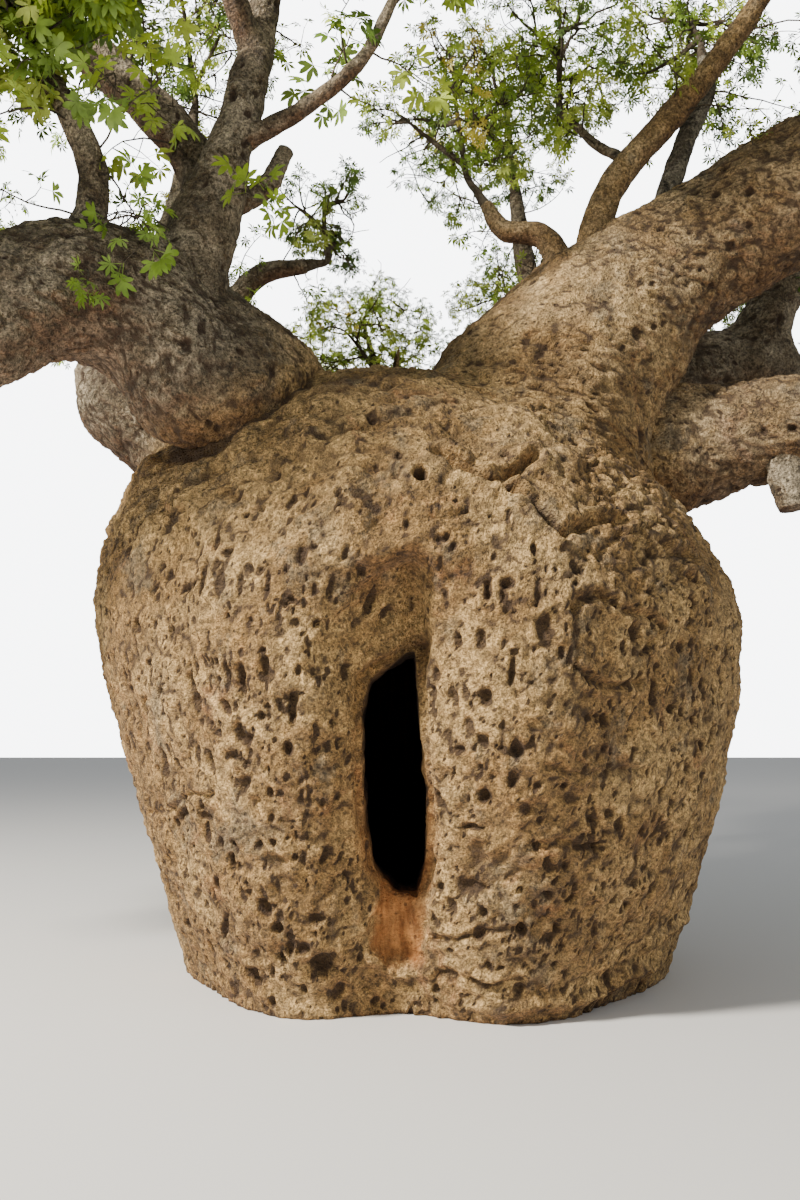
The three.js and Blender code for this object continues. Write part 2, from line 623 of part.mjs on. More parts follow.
// One mass of foliage: twigs leave the upper stem for spots spread evenly over the mass's ball, and
// side twigs leave each twig. The stem, the twigs and the side twigs all end in a leaf.
function growMass(mass, index, stem, obstacles) {
  const random = seeded(1000 + 17 * index);
  const between = (low, high) => low + (high - low) * random();
  const middle = v3(...mass.middle);
  const [, bend, head] = stem.map(([x, y, z]) => v3(x, y, z));
  const leaf = mass.reach * LEAF_LENGTH;
  const parts = [twigSolid(stem, v3(0, 0, 1), leaf, index)];
  const addTwig = (path, way) => {
    const roll = between(-LEAF_ROLL, LEAF_ROLL);
    const fitting = fits(mass, obstacles, [...path, ...leafPath(path, way, leaf)]);
    if (fitting) parts.push(twigSolid(path, way, leaf, roll));
    return fitting;
  };

  const twigs = Math.round(TWIGS_PER_METRE * mass.reach);
  for (let k = 0; k < twigs; k++) {
    const start = bend.clone().lerp(head, (k + 0.5) / twigs);
    const out = twigWay(k, twigs, index + between(0, 0.7));
    const end = middle.clone().addScaledVector(out, mass.reach - leaf * between(1.02, 1.22));
    const bow = across(out, between(0, 2 * Math.PI)).multiplyScalar(TWIG_BOW * start.distanceTo(end));
    const elbow = start.clone().lerp(end, TWIG_ELBOW).add(bow);
    const twig = [
      pathPoint(start, TWIG_RADIUS * ROOT_SHARE),
      pathPoint(elbow, TWIG_RADIUS * 0.8),
      pathPoint(end, TWIG_RADIUS * 0.6),
    ];
    if (!addTwig(twig, out)) continue;

    const lean = between(0, 2 * Math.PI);
    for (let side = 0; side < SIDE_TWIGS; side++) {
      const root = elbow.clone().lerp(side ? end : start, 0.25);
      const turn = lean + (2 * Math.PI * side) / SIDE_TWIGS;
      const way = out.clone().addScaledVector(across(out, turn), SIDE_SPREAD).normalize();
      const tip = root.clone().addScaledVector(way, mass.reach * between(...SIDE_LENGTH));
      addTwig([pathPoint(root, SIDE_RADIUS * ROOT_SHARE), pathPoint(tip, SIDE_RADIUS * 0.7)], way);
    }
  }
  const whole = parts.reduce((joined, piece) => joined.add(piece));
  return largestBody(whole);
}

const tree = new THREE.Group();
tree.add(meshOf(trunkSolid(), "trunk", BARK));
const limbs = growLimbs();
for (const [name, { solid }] of limbs) {
  tree.add(meshOf(solid, name, name.startsWith("bough") ? BARK : PALE_BARK));
}
const stems = MASSES.map((mass) => stemOf(mass, limbs.get(mass.limb)));
const obstacles = [
  ...LIMBS.flatMap(({ name, path }) => spotsAlong(path).map((spot) => ({ of: name, spot }))),
  ...MASSES.flatMap(({ name }, i) => spotsAlong(stems[i]).map((spot) => ({ of: name, spot }))),
];
MASSES.forEach((mass, i) => {
  tree.add(meshOf(growMass(mass, i, stems[i], obstacles), mass.name, LEAF));
});

export default tree;
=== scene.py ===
# %% [markdown]
# # An old hollow baobab, dressed for its portrait
#
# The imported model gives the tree's solids: one trunk, 31 boughs and limbs, and 25 masses of
# foliage. This lesson lays a finished surface over each of them. The trunk and limbs get a fine
# mesh with the relief of the bark pressed into it, and each mass gets real twigs and five-fingered
# leaves. Everything is in metres, in the same frame as the solids: +Z is up, and the ground is at
# height 0.

# %% Load the frame
import math

import bpy
import numpy as np
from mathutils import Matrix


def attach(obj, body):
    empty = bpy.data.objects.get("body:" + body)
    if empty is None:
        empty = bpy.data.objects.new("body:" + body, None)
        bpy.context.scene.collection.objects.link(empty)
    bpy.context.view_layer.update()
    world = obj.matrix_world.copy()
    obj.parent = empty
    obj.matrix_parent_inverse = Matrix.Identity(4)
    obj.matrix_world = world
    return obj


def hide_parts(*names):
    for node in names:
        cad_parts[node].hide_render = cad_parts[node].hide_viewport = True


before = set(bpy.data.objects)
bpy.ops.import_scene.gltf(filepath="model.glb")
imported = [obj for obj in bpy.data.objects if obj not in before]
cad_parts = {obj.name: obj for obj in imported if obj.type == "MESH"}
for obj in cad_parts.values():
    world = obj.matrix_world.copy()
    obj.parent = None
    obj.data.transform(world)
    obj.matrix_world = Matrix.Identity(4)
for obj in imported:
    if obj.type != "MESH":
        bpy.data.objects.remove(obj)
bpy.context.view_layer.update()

# %% [markdown]
# ## The camera
#
# The photo was taken some five metres in front of the bark, at standing height, with the camera
# tipped up a little, so the trunk fills the frame and the crown runs out of it. The lens is short.
# The place and tilt were found by matching the trunk's two edges, its foot and the slit, and the
# camera is set from those plain numbers.

# %% Camera
CAMERA_PLACE = (-0.13, -7.65, 1.60)
CAMERA_TILT = math.radians(98)  # 90 degrees would look level
LENS_LENGTH = 30  # millimetres, as is the sensor
SENSOR_WIDTH = 36

eye = bpy.data.cameras.new("eye")
eye.lens = LENS_LENGTH
eye.sensor_width = SENSOR_WIDTH
camera = bpy.data.objects.new("camera", eye)
camera.location = CAMERA_PLACE
camera.rotation_euler = (CAMERA_TILT, 0, 0)
bpy.context.scene.collection.objects.link(camera)
bpy.context.scene.camera = camera
print("Camera at", CAMERA_PLACE)

# %% [markdown]
# ## Meshes from arrays
#
# Bark and leaves are many thousands of points, so each mesh is worked out as a table of points and
# a table of faces, and handed to Blender in one go. `make_mesh` does that and smooths the shading.


# %% Helpers for meshes
def make_mesh(name, points, faces):
    """A smooth-shaded mesh object from an array of points and an array of faces of one size."""
    mesh = bpy.data.meshes.new(name)
    corners = faces.shape[1]
    mesh.vertices.add(len(points))
    mesh.vertices.foreach_set("co", np.ascontiguousarray(points, np.float32).ravel())
    mesh.loops.add(faces.size)
    mesh.loops.foreach_set("vertex_index", np.ascontiguousarray(faces, np.int32).ravel())
    mesh.polygons.add(len(faces))
    mesh.polygons.foreach_set("loop_start", np.arange(0, faces.size, corners, dtype=np.int32))
    mesh.update(calc_edges=True)
    mesh.polygons.foreach_set("use_smooth", np.ones(len(faces), bool))
    made = bpy.data.objects.new(name, mesh)
    bpy.context.scene.collection.objects.link(made)
    return made


def dress(piece, material, nodes):
    """Gives a piece its material, hangs it from the root body and hides the solids that it stands
    for.
    """
    piece.data.materials.clear()
    piece.data.materials.append(material)
    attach(piece, "root")
    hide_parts(*nodes)
    return piece


def points_of(piece):
    """The points of a piece's mesh as an array."""
    flat = np.empty(len(piece.data.vertices) * 3, np.float32)
    piece.data.vertices.foreach_get("co", flat)
    return flat.reshape(-1, 3).astype(float)


def set_field(piece, name, values):
    """Keeps one number for each point, which a material can read by its name."""
    field = piece.data.attributes.new(name, "FLOAT", "POINT")
    field.data.foreach_set("value", np.ascontiguousarray(values, np.float32))


def tube_faces(rows, columns):
    """Triangles of a closed tube: rings of points, then a foot point and a tip point."""
    ring = np.arange(columns)
    after = (ring + 1) % columns
    sides = []
    for row in range(rows - 1):
        low, high = row * columns, (row + 1) * columns
        sides.append(np.column_stack([low + ring, low + after, high + after]))
        sides.append(np.column_stack([low + ring, high + after, high + ring]))
    foot, tip = rows * columns, rows * columns + 1
    last = (rows - 1) * columns
    sides.append(np.column_stack([np.full(columns, foot), after, ring]))
    sides.append(np.column_stack([last + ring, last + after, np.full(columns, tip)]))
    return np.vstack(sides)


# %% [markdown]
# ## Noise
#
# Bark is uneven at every scale, from lumps as big as a melon to grains of sand. Blender's own noise
# is asked point by point. Here the same idea is written for whole arrays: each corner of a cubic
# lattice gets a random slope, and the slopes are blended smoothly between the corners. Rough noise
# is a few of these laid over each other, each finer and weaker than the one before.

# %% Noise for whole arrays
NOISE_GAIN = 1.6  # brings the noise to about -1 to 1
LAYER_SHIFT = 3.7  # metres between the layers of rough noise, so that they don't line up
lattice_dice = np.random.default_rng(20)
SHUFFLE = lattice_dice.permutation(256)
SLOPES = lattice_dice.normal(size=(256, 3))
SLOPES /= np.linalg.norm(SLOPES, axis=1)[:, None]
CUBE_CORNERS = [(x, y, z) for x in (0, 1) for y in (0, 1) for z in (0, 1)]


def soft_noise(points, spacing):
    """Smooth noise of about -1 to 1, whose lumps lie `spacing` metres apart."""
    spots = points / np.asarray(spacing)
    cell = np.floor(spots).astype(int)
    local = spots - cell
    ease = local**3 * (local * (local * 6 - 15) + 10)
    total = np.zeros(len(points))
    for corner in CUBE_CORNERS:
        key = (cell + corner) & 255
        mixed = SHUFFLE[(SHUFFLE[(SHUFFLE[key[:, 0]] + key[:, 1]) & 255] + key[:, 2]) & 255]
        weight = np.where(corner, ease, 1 - ease).prod(axis=1)
        total += weight * (SLOPES[mixed] * (local - corner)).sum(axis=1)
    return total * NOISE_GAIN


def rough_noise(points, spacing, layers):
    """Layers of soft noise, each twice as fine and half as strong as the one before."""
    total = np.zeros(len(points))
    for layer in range(layers):
        total += soft_noise(points + LAYER_SHIFT * layer, spacing / 2**layer) / 2**layer
    return total


def ease_in(value, low, high):
    """From 0 at `low` and below, smoothly to 1 at `high` and above."""
    share = np.clip((value - low) / (high - low), 0, 1)
    return share * share * (3 - 2 * share)


def ease_out(value, low, high):
    """From 1 at `low` and below, smoothly to 0 at `high` and above."""
    return 1 - ease_in(value, low, high)


# %% [markdown]
# ## The trunk's true shape
#
# The trunk is a short barrel, waisted at the ground and drawn in to a saddle at the top, with a
# swollen shoulder under each bough. The solid was made from a rule: how far does a point lie
# outside the skin? The same rule, with the same sizes, is written again here. It is better than
# copying the solid's points, because the fine mesh can ask it as many questions as it likes.

# %% Sizes of the trunk
# Each waist is [height, radius, how far its middle lies towards +X].
WAISTS = [
    [-0.7, 1.56, 0.05],
    [0.0, 1.63, 0.05],
    [0.5, 1.85, 0.07],
    [1.2, 2.1, 0.07],
    [1.9, 2.28, 0.04],
    [2.5, 2.355, -0.01],
    [3.0, 2.23, -0.1],
    [3.4, 2.0, -0.18],
    [3.8, 1.6, -0.2],
    [4.1, 1.08, -0.2],
    [4.3, 0.5, -0.2],
    [4.38, 0.02, -0.2],
]
WAIST_STEPS = 240
WALL_LEAN = 0.9  # the wall leans, so the way out of it is a little shorter than the level way
HEART_Z = 2.3
FARTHEST_SKIN = 4.5
HALVINGS = 19  # each one halves the doubt where the skin is
SHOULDER_BLEND = 0.34
# Each shoulder runs from a round inside the barrel to a smaller one outside it: [x, y, z, radius].
SHOULDERS = [
    [[-0.55, -0.3, 3.1, 0.95], [-1.05, -0.72, 3.82, 0.52]],
    [[-0.8, 0.3, 3.1, 0.85], [-1.5, 0.4, 3.75, 0.42]],
    [[0.5, -0.05, 3.2, 1.1], [1.28, -0.1, 4.5, 0.56]],
    [[0.7, 0.2, 3.2, 0.85], [1.35, 0.25, 3.85, 0.42]],
    [[0.55, 0.6, 3.1, 0.85], [1.2, 0.9, 3.8, 0.42]],
    [[0.0, 0.7, 3.1, 0.9], [-0.1, 1.25, 3.85, 0.38]],
    [[-0.5, 0.6, 3.1, 0.8], [-1.0, 1.2, 3.8, 0.36]],
]
FOLD_X = -0.13
FOLD_WIDTH = 0.34
FOLD_DEPTH = 0.3
FOLD_FROM_TO = (2.1, 2.9)
FOLD_AT_FOOT = 0.55
FRONT_FROM_TO = (-1.4, -0.2)
LOBE_AT = 0.85
LOBE_WIDTH = 0.4
LOBE_HEIGHT = 0.09
FOOT_LOBES = 7
FOOT_SWELL = 0.08
FOOT_TOP = 1.0


# %% A smooth curve through spots
def centripetal_curve(spots, count):
    """`count` + 1 points on the smooth curve through `spots` that the solids were made with."""
    spots = np.asarray(spots, float)
    ends = np.vstack([2 * spots[0] - spots[1], spots, 2 * spots[-1] - spots[-2]])
    place = np.linspace(0, len(spots) - 1, count + 1)
    before = np.minimum(place.astype(int), len(spots) - 2)
    share = (place - before)[:, None]
    a, b, c, d = (ends[before + k] for k in range(4))
    gap_ab = np.linalg.norm(b - a, axis=1)[:, None] ** 0.5
    gap_bc = np.linalg.norm(c - b, axis=1)[:, None] ** 0.5
    gap_cd = np.linalg.norm(d - c, axis=1)[:, None] ** 0.5
    leave = ((b - a) / gap_ab - (c - a) / (gap_ab + gap_bc) + (c - b) / gap_bc) * gap_bc
    arrive = ((c - b) / gap_bc - (d - b) / (gap_bc + gap_cd) + (d - c) / gap_cd) * gap_bc
    square = -3 * b + 3 * c - 2 * leave - arrive
    cube = 2 * b - 2 * c + leave + arrive
    return b + leave * share + square * share**2 + cube * share**3


WAIST_TABLE = centripetal_curve(WAISTS, WAIST_STEPS)
print("The trunk is widest, at a radius of", round(WAIST_TABLE[:, 1].max(), 3), "m")


# %% The rule for the trunk's skin
def soft_min(a, b, blend):
    """The smaller of two distances, with the corner between them rounded over `blend`."""
    share = np.clip(0.5 + 0.5 * (b - a) / blend, 0, 1)
    return b + (a - b) * share - blend * share * (1 - share)


def outside_trunk(p):
    """Roughly how far each point lies outside the trunk's skin."""
    x, y, z = p.T
    radius = np.interp(z, WAIST_TABLE[:, 0], WAIST_TABLE[:, 1])
    shift = np.interp(z, WAIST_TABLE[:, 0], WAIST_TABLE[:, 2])
    across = x - FOLD_X
    strength = 1 - (1 - FOLD_AT_FOOT) * ease_out(z, 0, FOOT_TOP)
    strength = strength * ease_out(y, *FRONT_FROM_TO) * ease_out(z, *FOLD_FROM_TO)
    fold = FOLD_DEPTH * np.exp(-((across / FOLD_WIDTH) ** 2))
    lobes = LOBE_HEIGHT * np.exp(-(((np.abs(across) - LOBE_AT) / LOBE_WIDTH) ** 2))
    foot = 0.5 - 0.5 * np.sin(FOOT_LOBES * np.arctan2(y, x))
    skin = radius - (fold - lobes) * strength + FOOT_SWELL * foot * ease_out(z, 0, FOOT_TOP)
    distance = (np.hypot(x - shift, y) - skin) * WALL_LEAN
    for inner, outer in SHOULDERS:
        start = np.array(inner[:3])
        axis = np.array(outer[:3]) - start
        along = np.clip((p - start) @ axis / (axis @ axis), 0, 1)
        away = np.linalg.norm(p - start - along[:, None] * axis, axis=1)
        away -= inner[3] + (outer[3] - inner[3]) * along
        distance = soft_min(distance, away, SHOULDER_BLEND)
    return distance


# %% Asking the rule
def push_to_skin(starts, ways):
    """Moves each start along its way until it meets the trunk's skin, by halving the doubt."""
    inside = np.zeros(len(starts))
    outside = np.full(len(starts), FARTHEST_SKIN)
    for _ in range(HALVINGS):
        middle = (inside + outside) / 2
        within = outside_trunk(starts + ways * middle[:, None]) < 0
        inside = np.where(within, middle, inside)
        outside = np.where(within, outside, middle)
    return starts + ways * inside[:, None]


def skin_normals(p):
    """The way that points straight out of the trunk's skin at each point."""
    step = 0.004
    slopes = [outside_trunk(p + step * axis) - outside_trunk(p - step * axis) for axis in np.eye(3)]
    way = np.column_stack(slopes)
    return way / np.linalg.norm(way, axis=1)[:, None]


# %% [markdown]
# ## A fine skin for the trunk
#
# A ball of points would crowd at its poles and be coarse where the bark is seen best. So the skin
# is a barrel of rings instead: level rings from the ground up to the widest part, and from there
# rings that lean in to the saddle, as spokes of a fan do. Columns stand closest on the front.

# %% Rings and columns
TRUNK_COLUMNS = 560
LEVEL_RINGS = 146
LEANING_RINGS = 180
FRONT = -math.pi / 2
FRONT_CLOSENESS = 3.0  # how many more columns the front has than the back
FRONT_HALF = 1.25  # half the angle of the front, in radians
LEAN_CROWDING = 1.15  # above 1, the leaning rings crowd where they leave the level ones

turn = np.linspace(-math.pi, math.pi, 4001)
closeness = 1 + FRONT_CLOSENESS * np.exp(-((turn / FRONT_HALF) ** 4))
spread = np.concatenate([[0], np.cumsum((closeness[1:] + closeness[:-1]) / 2)])
wanted = np.arange(TRUNK_COLUMNS) / TRUNK_COLUMNS * spread[-1]
column_angles = np.interp(wanted, spread, turn) + FRONT
column_ways = np.column_stack(
    [np.cos(column_angles), np.sin(column_angles), np.zeros(TRUNK_COLUMNS)]
)

starts = []
ways = []
for height in np.linspace(0, HEART_Z, LEVEL_RINGS, endpoint=False):
    starts.append(np.tile([0, 0, height], (TRUNK_COLUMNS, 1)))
    ways.append(column_ways)
for lean in np.linspace(0, 1, LEANING_RINGS, endpoint=False) ** LEAN_CROWDING * math.pi / 2:
    starts.append(np.tile([0, 0, HEART_Z], (TRUNK_COLUMNS, 1)))
    ways.append(column_ways * math.cos(lean) + [0, 0, math.sin(lean)])
starts.append(np.array([[0, 0, 0.0], [0, 0, HEART_Z]]))
ways.append(np.array([[0, 0, 0.0], [0, 0, 1.0]]))
skin = push_to_skin(np.vstack(starts), np.vstack(ways))
outwards = skin_normals(skin)
outwards[-2] = (0, 0, -1)
print("Points on the trunk's skin:", len(skin))

# %% [markdown]
# ## The marks of age
#
# The bark of this tree is soft, and has been gouged, pecked and healed over for centuries. Each
# large pit that can be told apart from some steps away is listed: where it is on the front of the
# trunk as [x, z], its half width and half height, its depth, and its tilt in degrees. Thousands of
# nameless pits are scattered by seeded dice later on. A pit is measured in its own flat frame that
# touches the skin, so that it is not stretched where the trunk curves away.

# %% Pits and gouges
PITS = [
    (-0.02, 3.04, 0.05, 0.059, 0.07, 0), (-0.27, 2.87, 0.055, 0.048, 0.025, 0),
    (-0.27, 2.33, 0.042, 0.082, 0.055, -15), (-0.58, 2.23, 0.028, 0.027, 0.04, 0),
    (-0.72, 2.36, 0.065, 0.022, 0.035, -30), (-1.18, 2.73, 0.033, 0.067, 0.04, 5),
    (-1.1, 2.65, 0.039, 0.036, 0.03, 0), (-1.26, 2.51, 0.035, 0.129, 0.05, -5),
    (-1.15, 2.51, 0.024, 0.128, 0.04, -5), (-1.02, 2.47, 0.018, 0.097, 0.03, 0),
    (-0.86, 2.46, 0.017, 0.102, 0.03, 0), (-1.52, 2.9, 0.133, 0.045, 0.03, 45),
    (-1.37, 2.47, 0.045, 0.041, 0.035, 0), (-1.5, 2.55, 0.062, 0.018, 0.025, 0),
    (-1.58, 2.28, 0.042, 0.036, 0.035, 0), (-0.88, 2.08, 0.028, 0.027, 0.035, 0),
    (-0.85, 1.96, 0.045, 0.06, 0.04, 0), (-1.33, 1.92, 0.04, 0.093, 0.04, 0),
    (-1.1, 1.98, 0.02, 0.123, 0.035, 0), (-1.01, 1.93, 0.037, 0.111, 0.045, 0),
    (-0.3, 3.53, 0.042, 0.056, 0.045, 0), (-2.06, 1.94, 0.067, 0.062, 0.035, 0),
    (-1.83, 1.92, 0.066, 0.039, 0.035, 0), (0.05, 1.96, 0.035, 0.05, 0.04, 0),
    (0.49, 3.25, 0.031, 0.031, 0.04, 0), (0.34, 2.4, 0.028, 0.076, 0.045, 0),
    (0.45, 2.44, 0.054, 0.044, 0.045, 0), (0.42, 2.37, 0.027, 0.049, 0.04, 0),
    (1.11, 2.12, 0.027, 0.056, 0.035, 0), (0.18, 2.14, 0.034, 0.049, 0.035, 0),
    (0.48, 2.07, 0.032, 0.027, 0.03, 0), (0.47, 1.97, 0.022, 0.102, 0.04, -8),
    (0.73, 2.07, 0.023, 0.043, 0.03, 10), (0.47, 3.86, 0.029, 0.058, 0.03, 0),
    (0.67, 3.72, 0.052, 0.069, 0.03, 0), (-1.31, 1.83, 0.048, 0.099, 0.045, 0),
    (-0.72, 1.75, 0.027, 0.093, 0.045, 5), (-0.9, 1.73, 0.035, 0.028, 0.035, 0),
    (-1.0, 1.62, 0.069, 0.028, 0.035, 0), (-1.17, 1.64, 0.037, 0.023, 0.025, 0),
    (-1.1, 1.51, 0.063, 0.034, 0.03, 0), (-0.74, 1.55, 0.033, 0.055, 0.045, 0),
    (-0.5, 1.7, 0.024, 0.022, 0.03, 0), (-1.02, 1.34, 0.098, 0.046, 0.03, 45),
    (-1.3, 1.15, 0.08, 0.04, 0.045, 0), (-1.29, 1.05, 0.045, 0.085, 0.05, 0),
    (-1.45, 1.16, 0.058, 0.031, 0.035, 0), (-0.93, 1.01, 0.031, 0.035, 0.035, 0),
    (-0.85, 1.03, 0.029, 0.029, 0.03, 0), (-0.55, 0.95, 0.03, 0.074, 0.045, -18),
    (-0.72, 0.95, 0.022, 0.023, 0.03, 0), (-0.83, 0.91, 0.076, 0.069, 0.025, 0),
    (-0.78, 0.76, 0.103, 0.104, 0.022, 0), (-1.67, 0.61, 0.059, 0.09, 0.04, -8),
    (-1.5, 0.42, 0.06, 0.034, 0.035, 0), (-1.17, 0.5, 0.15, 0.031, 0.035, 50),
    (-0.59, 0.6, 0.063, 0.029, 0.035, 0), (-0.58, 0.32, 0.086, 0.089, 0.09, 0),
    (-0.68, 0.43, 0.046, 0.041, 0.04, 0), (0.33, 1.83, 0.047, 0.06, 0.05, 0),
    (0.15, 1.85, 0.049, 0.039, 0.03, 0), (0.23, 1.85, 0.032, 0.038, 0.03, 0),
    (0.32, 1.6, 0.048, 0.055, 0.03, 0), (0.19, 1.55, 0.048, 0.028, 0.03, 0),
    (0.26, 1.12, 0.09, 0.022, 0.045, 0), (0.29, 0.97, 0.087, 0.101, 0.032, 0),
    (0.25, 0.78, 0.123, 0.057, 0.04, 0), (0.1, 0.77, 0.036, 0.034, 0.04, 0),
    (0.5, 1.55, 0.049, 0.07, 0.06, 0), (1.0, 1.71, 0.046, 0.05, 0.05, 0),
    (0.9, 1.72, 0.038, 0.022, 0.03, 0), (1.49, 1.78, 0.047, 0.036, 0.045, 0),
    (0.94, 1.16, 0.059, 0.028, 0.045, -25), (1.04, 1.19, 0.042, 0.034, 0.035, 0),
    (0.89, 1.01, 0.078, 0.017, 0.03, 0), (0.99, 1.03, 0.021, 0.04, 0.03, 0),
    (0.68, 0.93, 0.034, 0.05, 0.04, 25), (0.81, 1.28, 0.072, 0.05, 0.025, 0),
    (0.83, 0.72, 0.05, 0.023, 0.045, 20), (1.19, 0.64, 0.04, 0.03, 0.04, 0),
    (0.53, 0.78, 0.022, 0.022, 0.035, 0), (0.69, 0.75, 0.052, 0.014, 0.025, 0),
    (1.78, 0.62, 0.08, 0.062, 0.05, 30), (1.0, 0.52, 0.036, 0.082, 0.035, 15),
    (1.38, 0.04, 0.061, 0.046, 0.045, 0), (1.88, 1.66, 0.066, 0.045, 0.035, 0),
    (1.83, 1.85, 0.04, 0.044, 0.03, 0), (0.88, 1.45, 0.031, 0.022, 0.03, 0),
    (0.31, 1.45, 0.024, 0.027, 0.03, 0), (1.73, 1.39, 0.049, 0.032, 0.03, 0),
    (1.27, 1.08, 0.038, 0.024, 0.03, 0), (1.4, 1.31, 0.046, 0.024, 0.03, 0),
    (0.63, 1.17, 0.022, 0.028, 0.03, 0), (0.61, 1.36, 0.027, 0.022, 0.025, 0),
]
# Each crease or ridge is a line of [x, z] spots, its half width and its height: below 0 it sinks.
LINES = [
    ([(0.1, 3.2), (0.28, 3.12), (0.38, 3.06), (0.5, 2.98)], 0.036, -0.1),
    ([(0.39, 3.05), (0.49, 3.11), (0.64, 3.23)], 0.034, -0.085),
    ([(0.5, 2.98), (0.6, 2.93), (0.68, 2.82), (0.79, 2.72)], 0.03, -0.065),
    ([(0.77, 2.72), (0.86, 2.79), (0.99, 2.85), (1.2, 2.89)], 0.03, -0.07),
    ([(0.79, 2.72), (0.84, 2.66), (0.9, 2.61)], 0.02, -0.035),
    ([(1.43, 2.76), (1.54, 2.73), (1.68, 2.73)], 0.035, -0.055),
    ([(1.63, 2.59), (1.71, 2.56)], 0.025, -0.03),
    ([(0.8, 2.31), (0.86, 2.37), (0.96, 2.4), (1.05, 2.36)], 0.026, -0.05),
    ([(1.07, 2.34), (1.16, 2.33), (1.29, 2.32), (1.38, 2.25)], 0.02, -0.035),
    ([(1.38, 2.25), (1.33, 2.16), (1.25, 2.08)], 0.02, -0.035),
    ([(0.82, 1.99), (0.91, 1.93), (1.0, 1.89), (1.23, 1.92)], 0.019, -0.033),
    ([(0.81, 2.3), (0.81, 2.14), (0.82, 1.99)], 0.018, -0.022),
    ([(-1.77, 1.14), (-1.57, 1.16), (-1.41, 1.27), (-1.23, 1.28)], 0.018, -0.024),
    ([(0.85, 2.71), (0.99, 2.6), (1.24, 2.45)], 0.025, -0.015),
    ([(0.65, 1.47), (0.74, 1.45), (0.83, 1.41), (1.04, 1.43), (1.25, 1.43)], 0.018, -0.023),
    ([(0.58, 1.02), (0.75, 1.05), (1.0, 1.0)], 0.018, -0.026),
    ([(0.05, 0.48), (0.21, 0.49), (0.35, 0.55), (0.54, 0.56)], 0.019, -0.028),
    ([(0.11, 0.29), (0.25, 0.28), (0.36, 0.23), (0.55, 0.27)], 0.023, -0.034),
    ([(0.97, 2.6), (1.03, 2.7), (1.14, 2.78)], 0.018, -0.022),
    ([(0.91, 0.11), (1.06, 0.13), (1.26, 0.19), (1.49, 0.22)], 0.06, 0.07),
    ([(1.39, 0.36), (1.55, 0.4), (1.77, 0.42)], 0.055, 0.05),
    ([(0.06, 0.19), (0.16, 0.11), (0.44, 0.11), (0.79, 0.12)], 0.057, 0.045),
    ([(-0.29, 0.34), (-0.16, 0.24), (0.04, 0.28)], 0.046, 0.04),
    ([(-0.68, 2.58), (-0.46, 2.6), (-0.13, 2.66), (0.17, 2.57)], 0.09, 0.05),
    ([(0.33, 3.32), (0.36, 3.22)], 0.19, -0.075),
    ([(-0.27, 3.1), (-0.25, 2.9), (-0.22, 2.78)], 0.08, -0.045),
    ([(-0.55, 3.35), (-0.2, 3.5), (0.05, 3.55)], 0.05, -0.04),
    ([(0.14, 3.3), (0.2, 3.22), (0.42, 3.1)], 0.06, 0.04),
]
print("Listed:", len(PITS), "pits and", len(LINES), "creases and ridges")


# %% Where a mark lies
def front_spots(places):
    """Where each [x, z] place lies on the front of the trunk."""
    places = np.asarray(places, float)
    starts = np.column_stack([places[:, 0], np.zeros(len(places)), places[:, 1]])
    return push_to_skin(starts, np.tile([0, -1.0, 0], (len(places), 1)))


def flat_frames(ways):
    """For each outward way, a level way and an upright way that touch the skin."""
    level = np.column_stack([-ways[:, 1], ways[:, 0], np.zeros(len(ways))])
    level /= np.linalg.norm(level, axis=1)[:, None] + 1e-9
    return level, np.cross(ways, level)


# %% How a pit changes the skin
PIT_REACH = 1.9  # how far off a pit is still felt, in shares of its size
PIT_RAGGED = 0.22
PIT_WALL = (0.4, 1.1)  # from its flat floor to its brim, in shares of its size
RIM_HEIGHT = 0.12
# A pit's dark is painted shade, with some dirt, and it grows with the pit's steepness.
STEEPEST = 0.8  # a pit this deep for its width is fully dark


def press_pits(points, centres, ways, sizes):
    """How deep the pits press each point in, and how much painted shade and dirt darken it (0 to
    1).
    """
    depth = np.zeros(len(points))
    dark = np.zeros(len(points))
    level, upright = flat_frames(ways)
    edge_noise = PIT_RAGGED * soft_noise(points, 0.045)
    for k, (width, height, deep, tilt) in enumerate(sizes):
        reach = PIT_REACH * max(width, height)
        near = np.flatnonzero((np.abs(points - centres[k]) < reach).all(axis=1))
        if len(near) == 0:
            continue
        away = points[near] - centres[k]
        a, b = away @ level[k], away @ upright[k]
        lean = math.radians(tilt)
        a, b = a * math.cos(lean) + b * math.sin(lean), b * math.cos(lean) - a * math.sin(lean)
        ring = np.hypot(a / width, b / height) * (1 + edge_noise[near])
        sink = ease_out(ring, *PIT_WALL)
        rim = RIM_HEIGHT * np.exp(-(((ring - 1.3) / 0.2) ** 2))
        depth[near] = np.maximum(depth[near], deep * sink) - deep * rim * (depth[near] < 0.005)
        steepness = min(1.0, deep / (STEEPEST * min(width, height)))
        dark[near] = np.maximum(dark[near], steepness * ease_out(ring, 0.3, 1.15))
    return depth, dark


# %% How a crease or a ridge changes the skin
LINE_REACH = 5  # how far off a line is still felt, in shares of its width
LINE_WOBBLE = 0.02
LIP_HEIGHT = 0.35


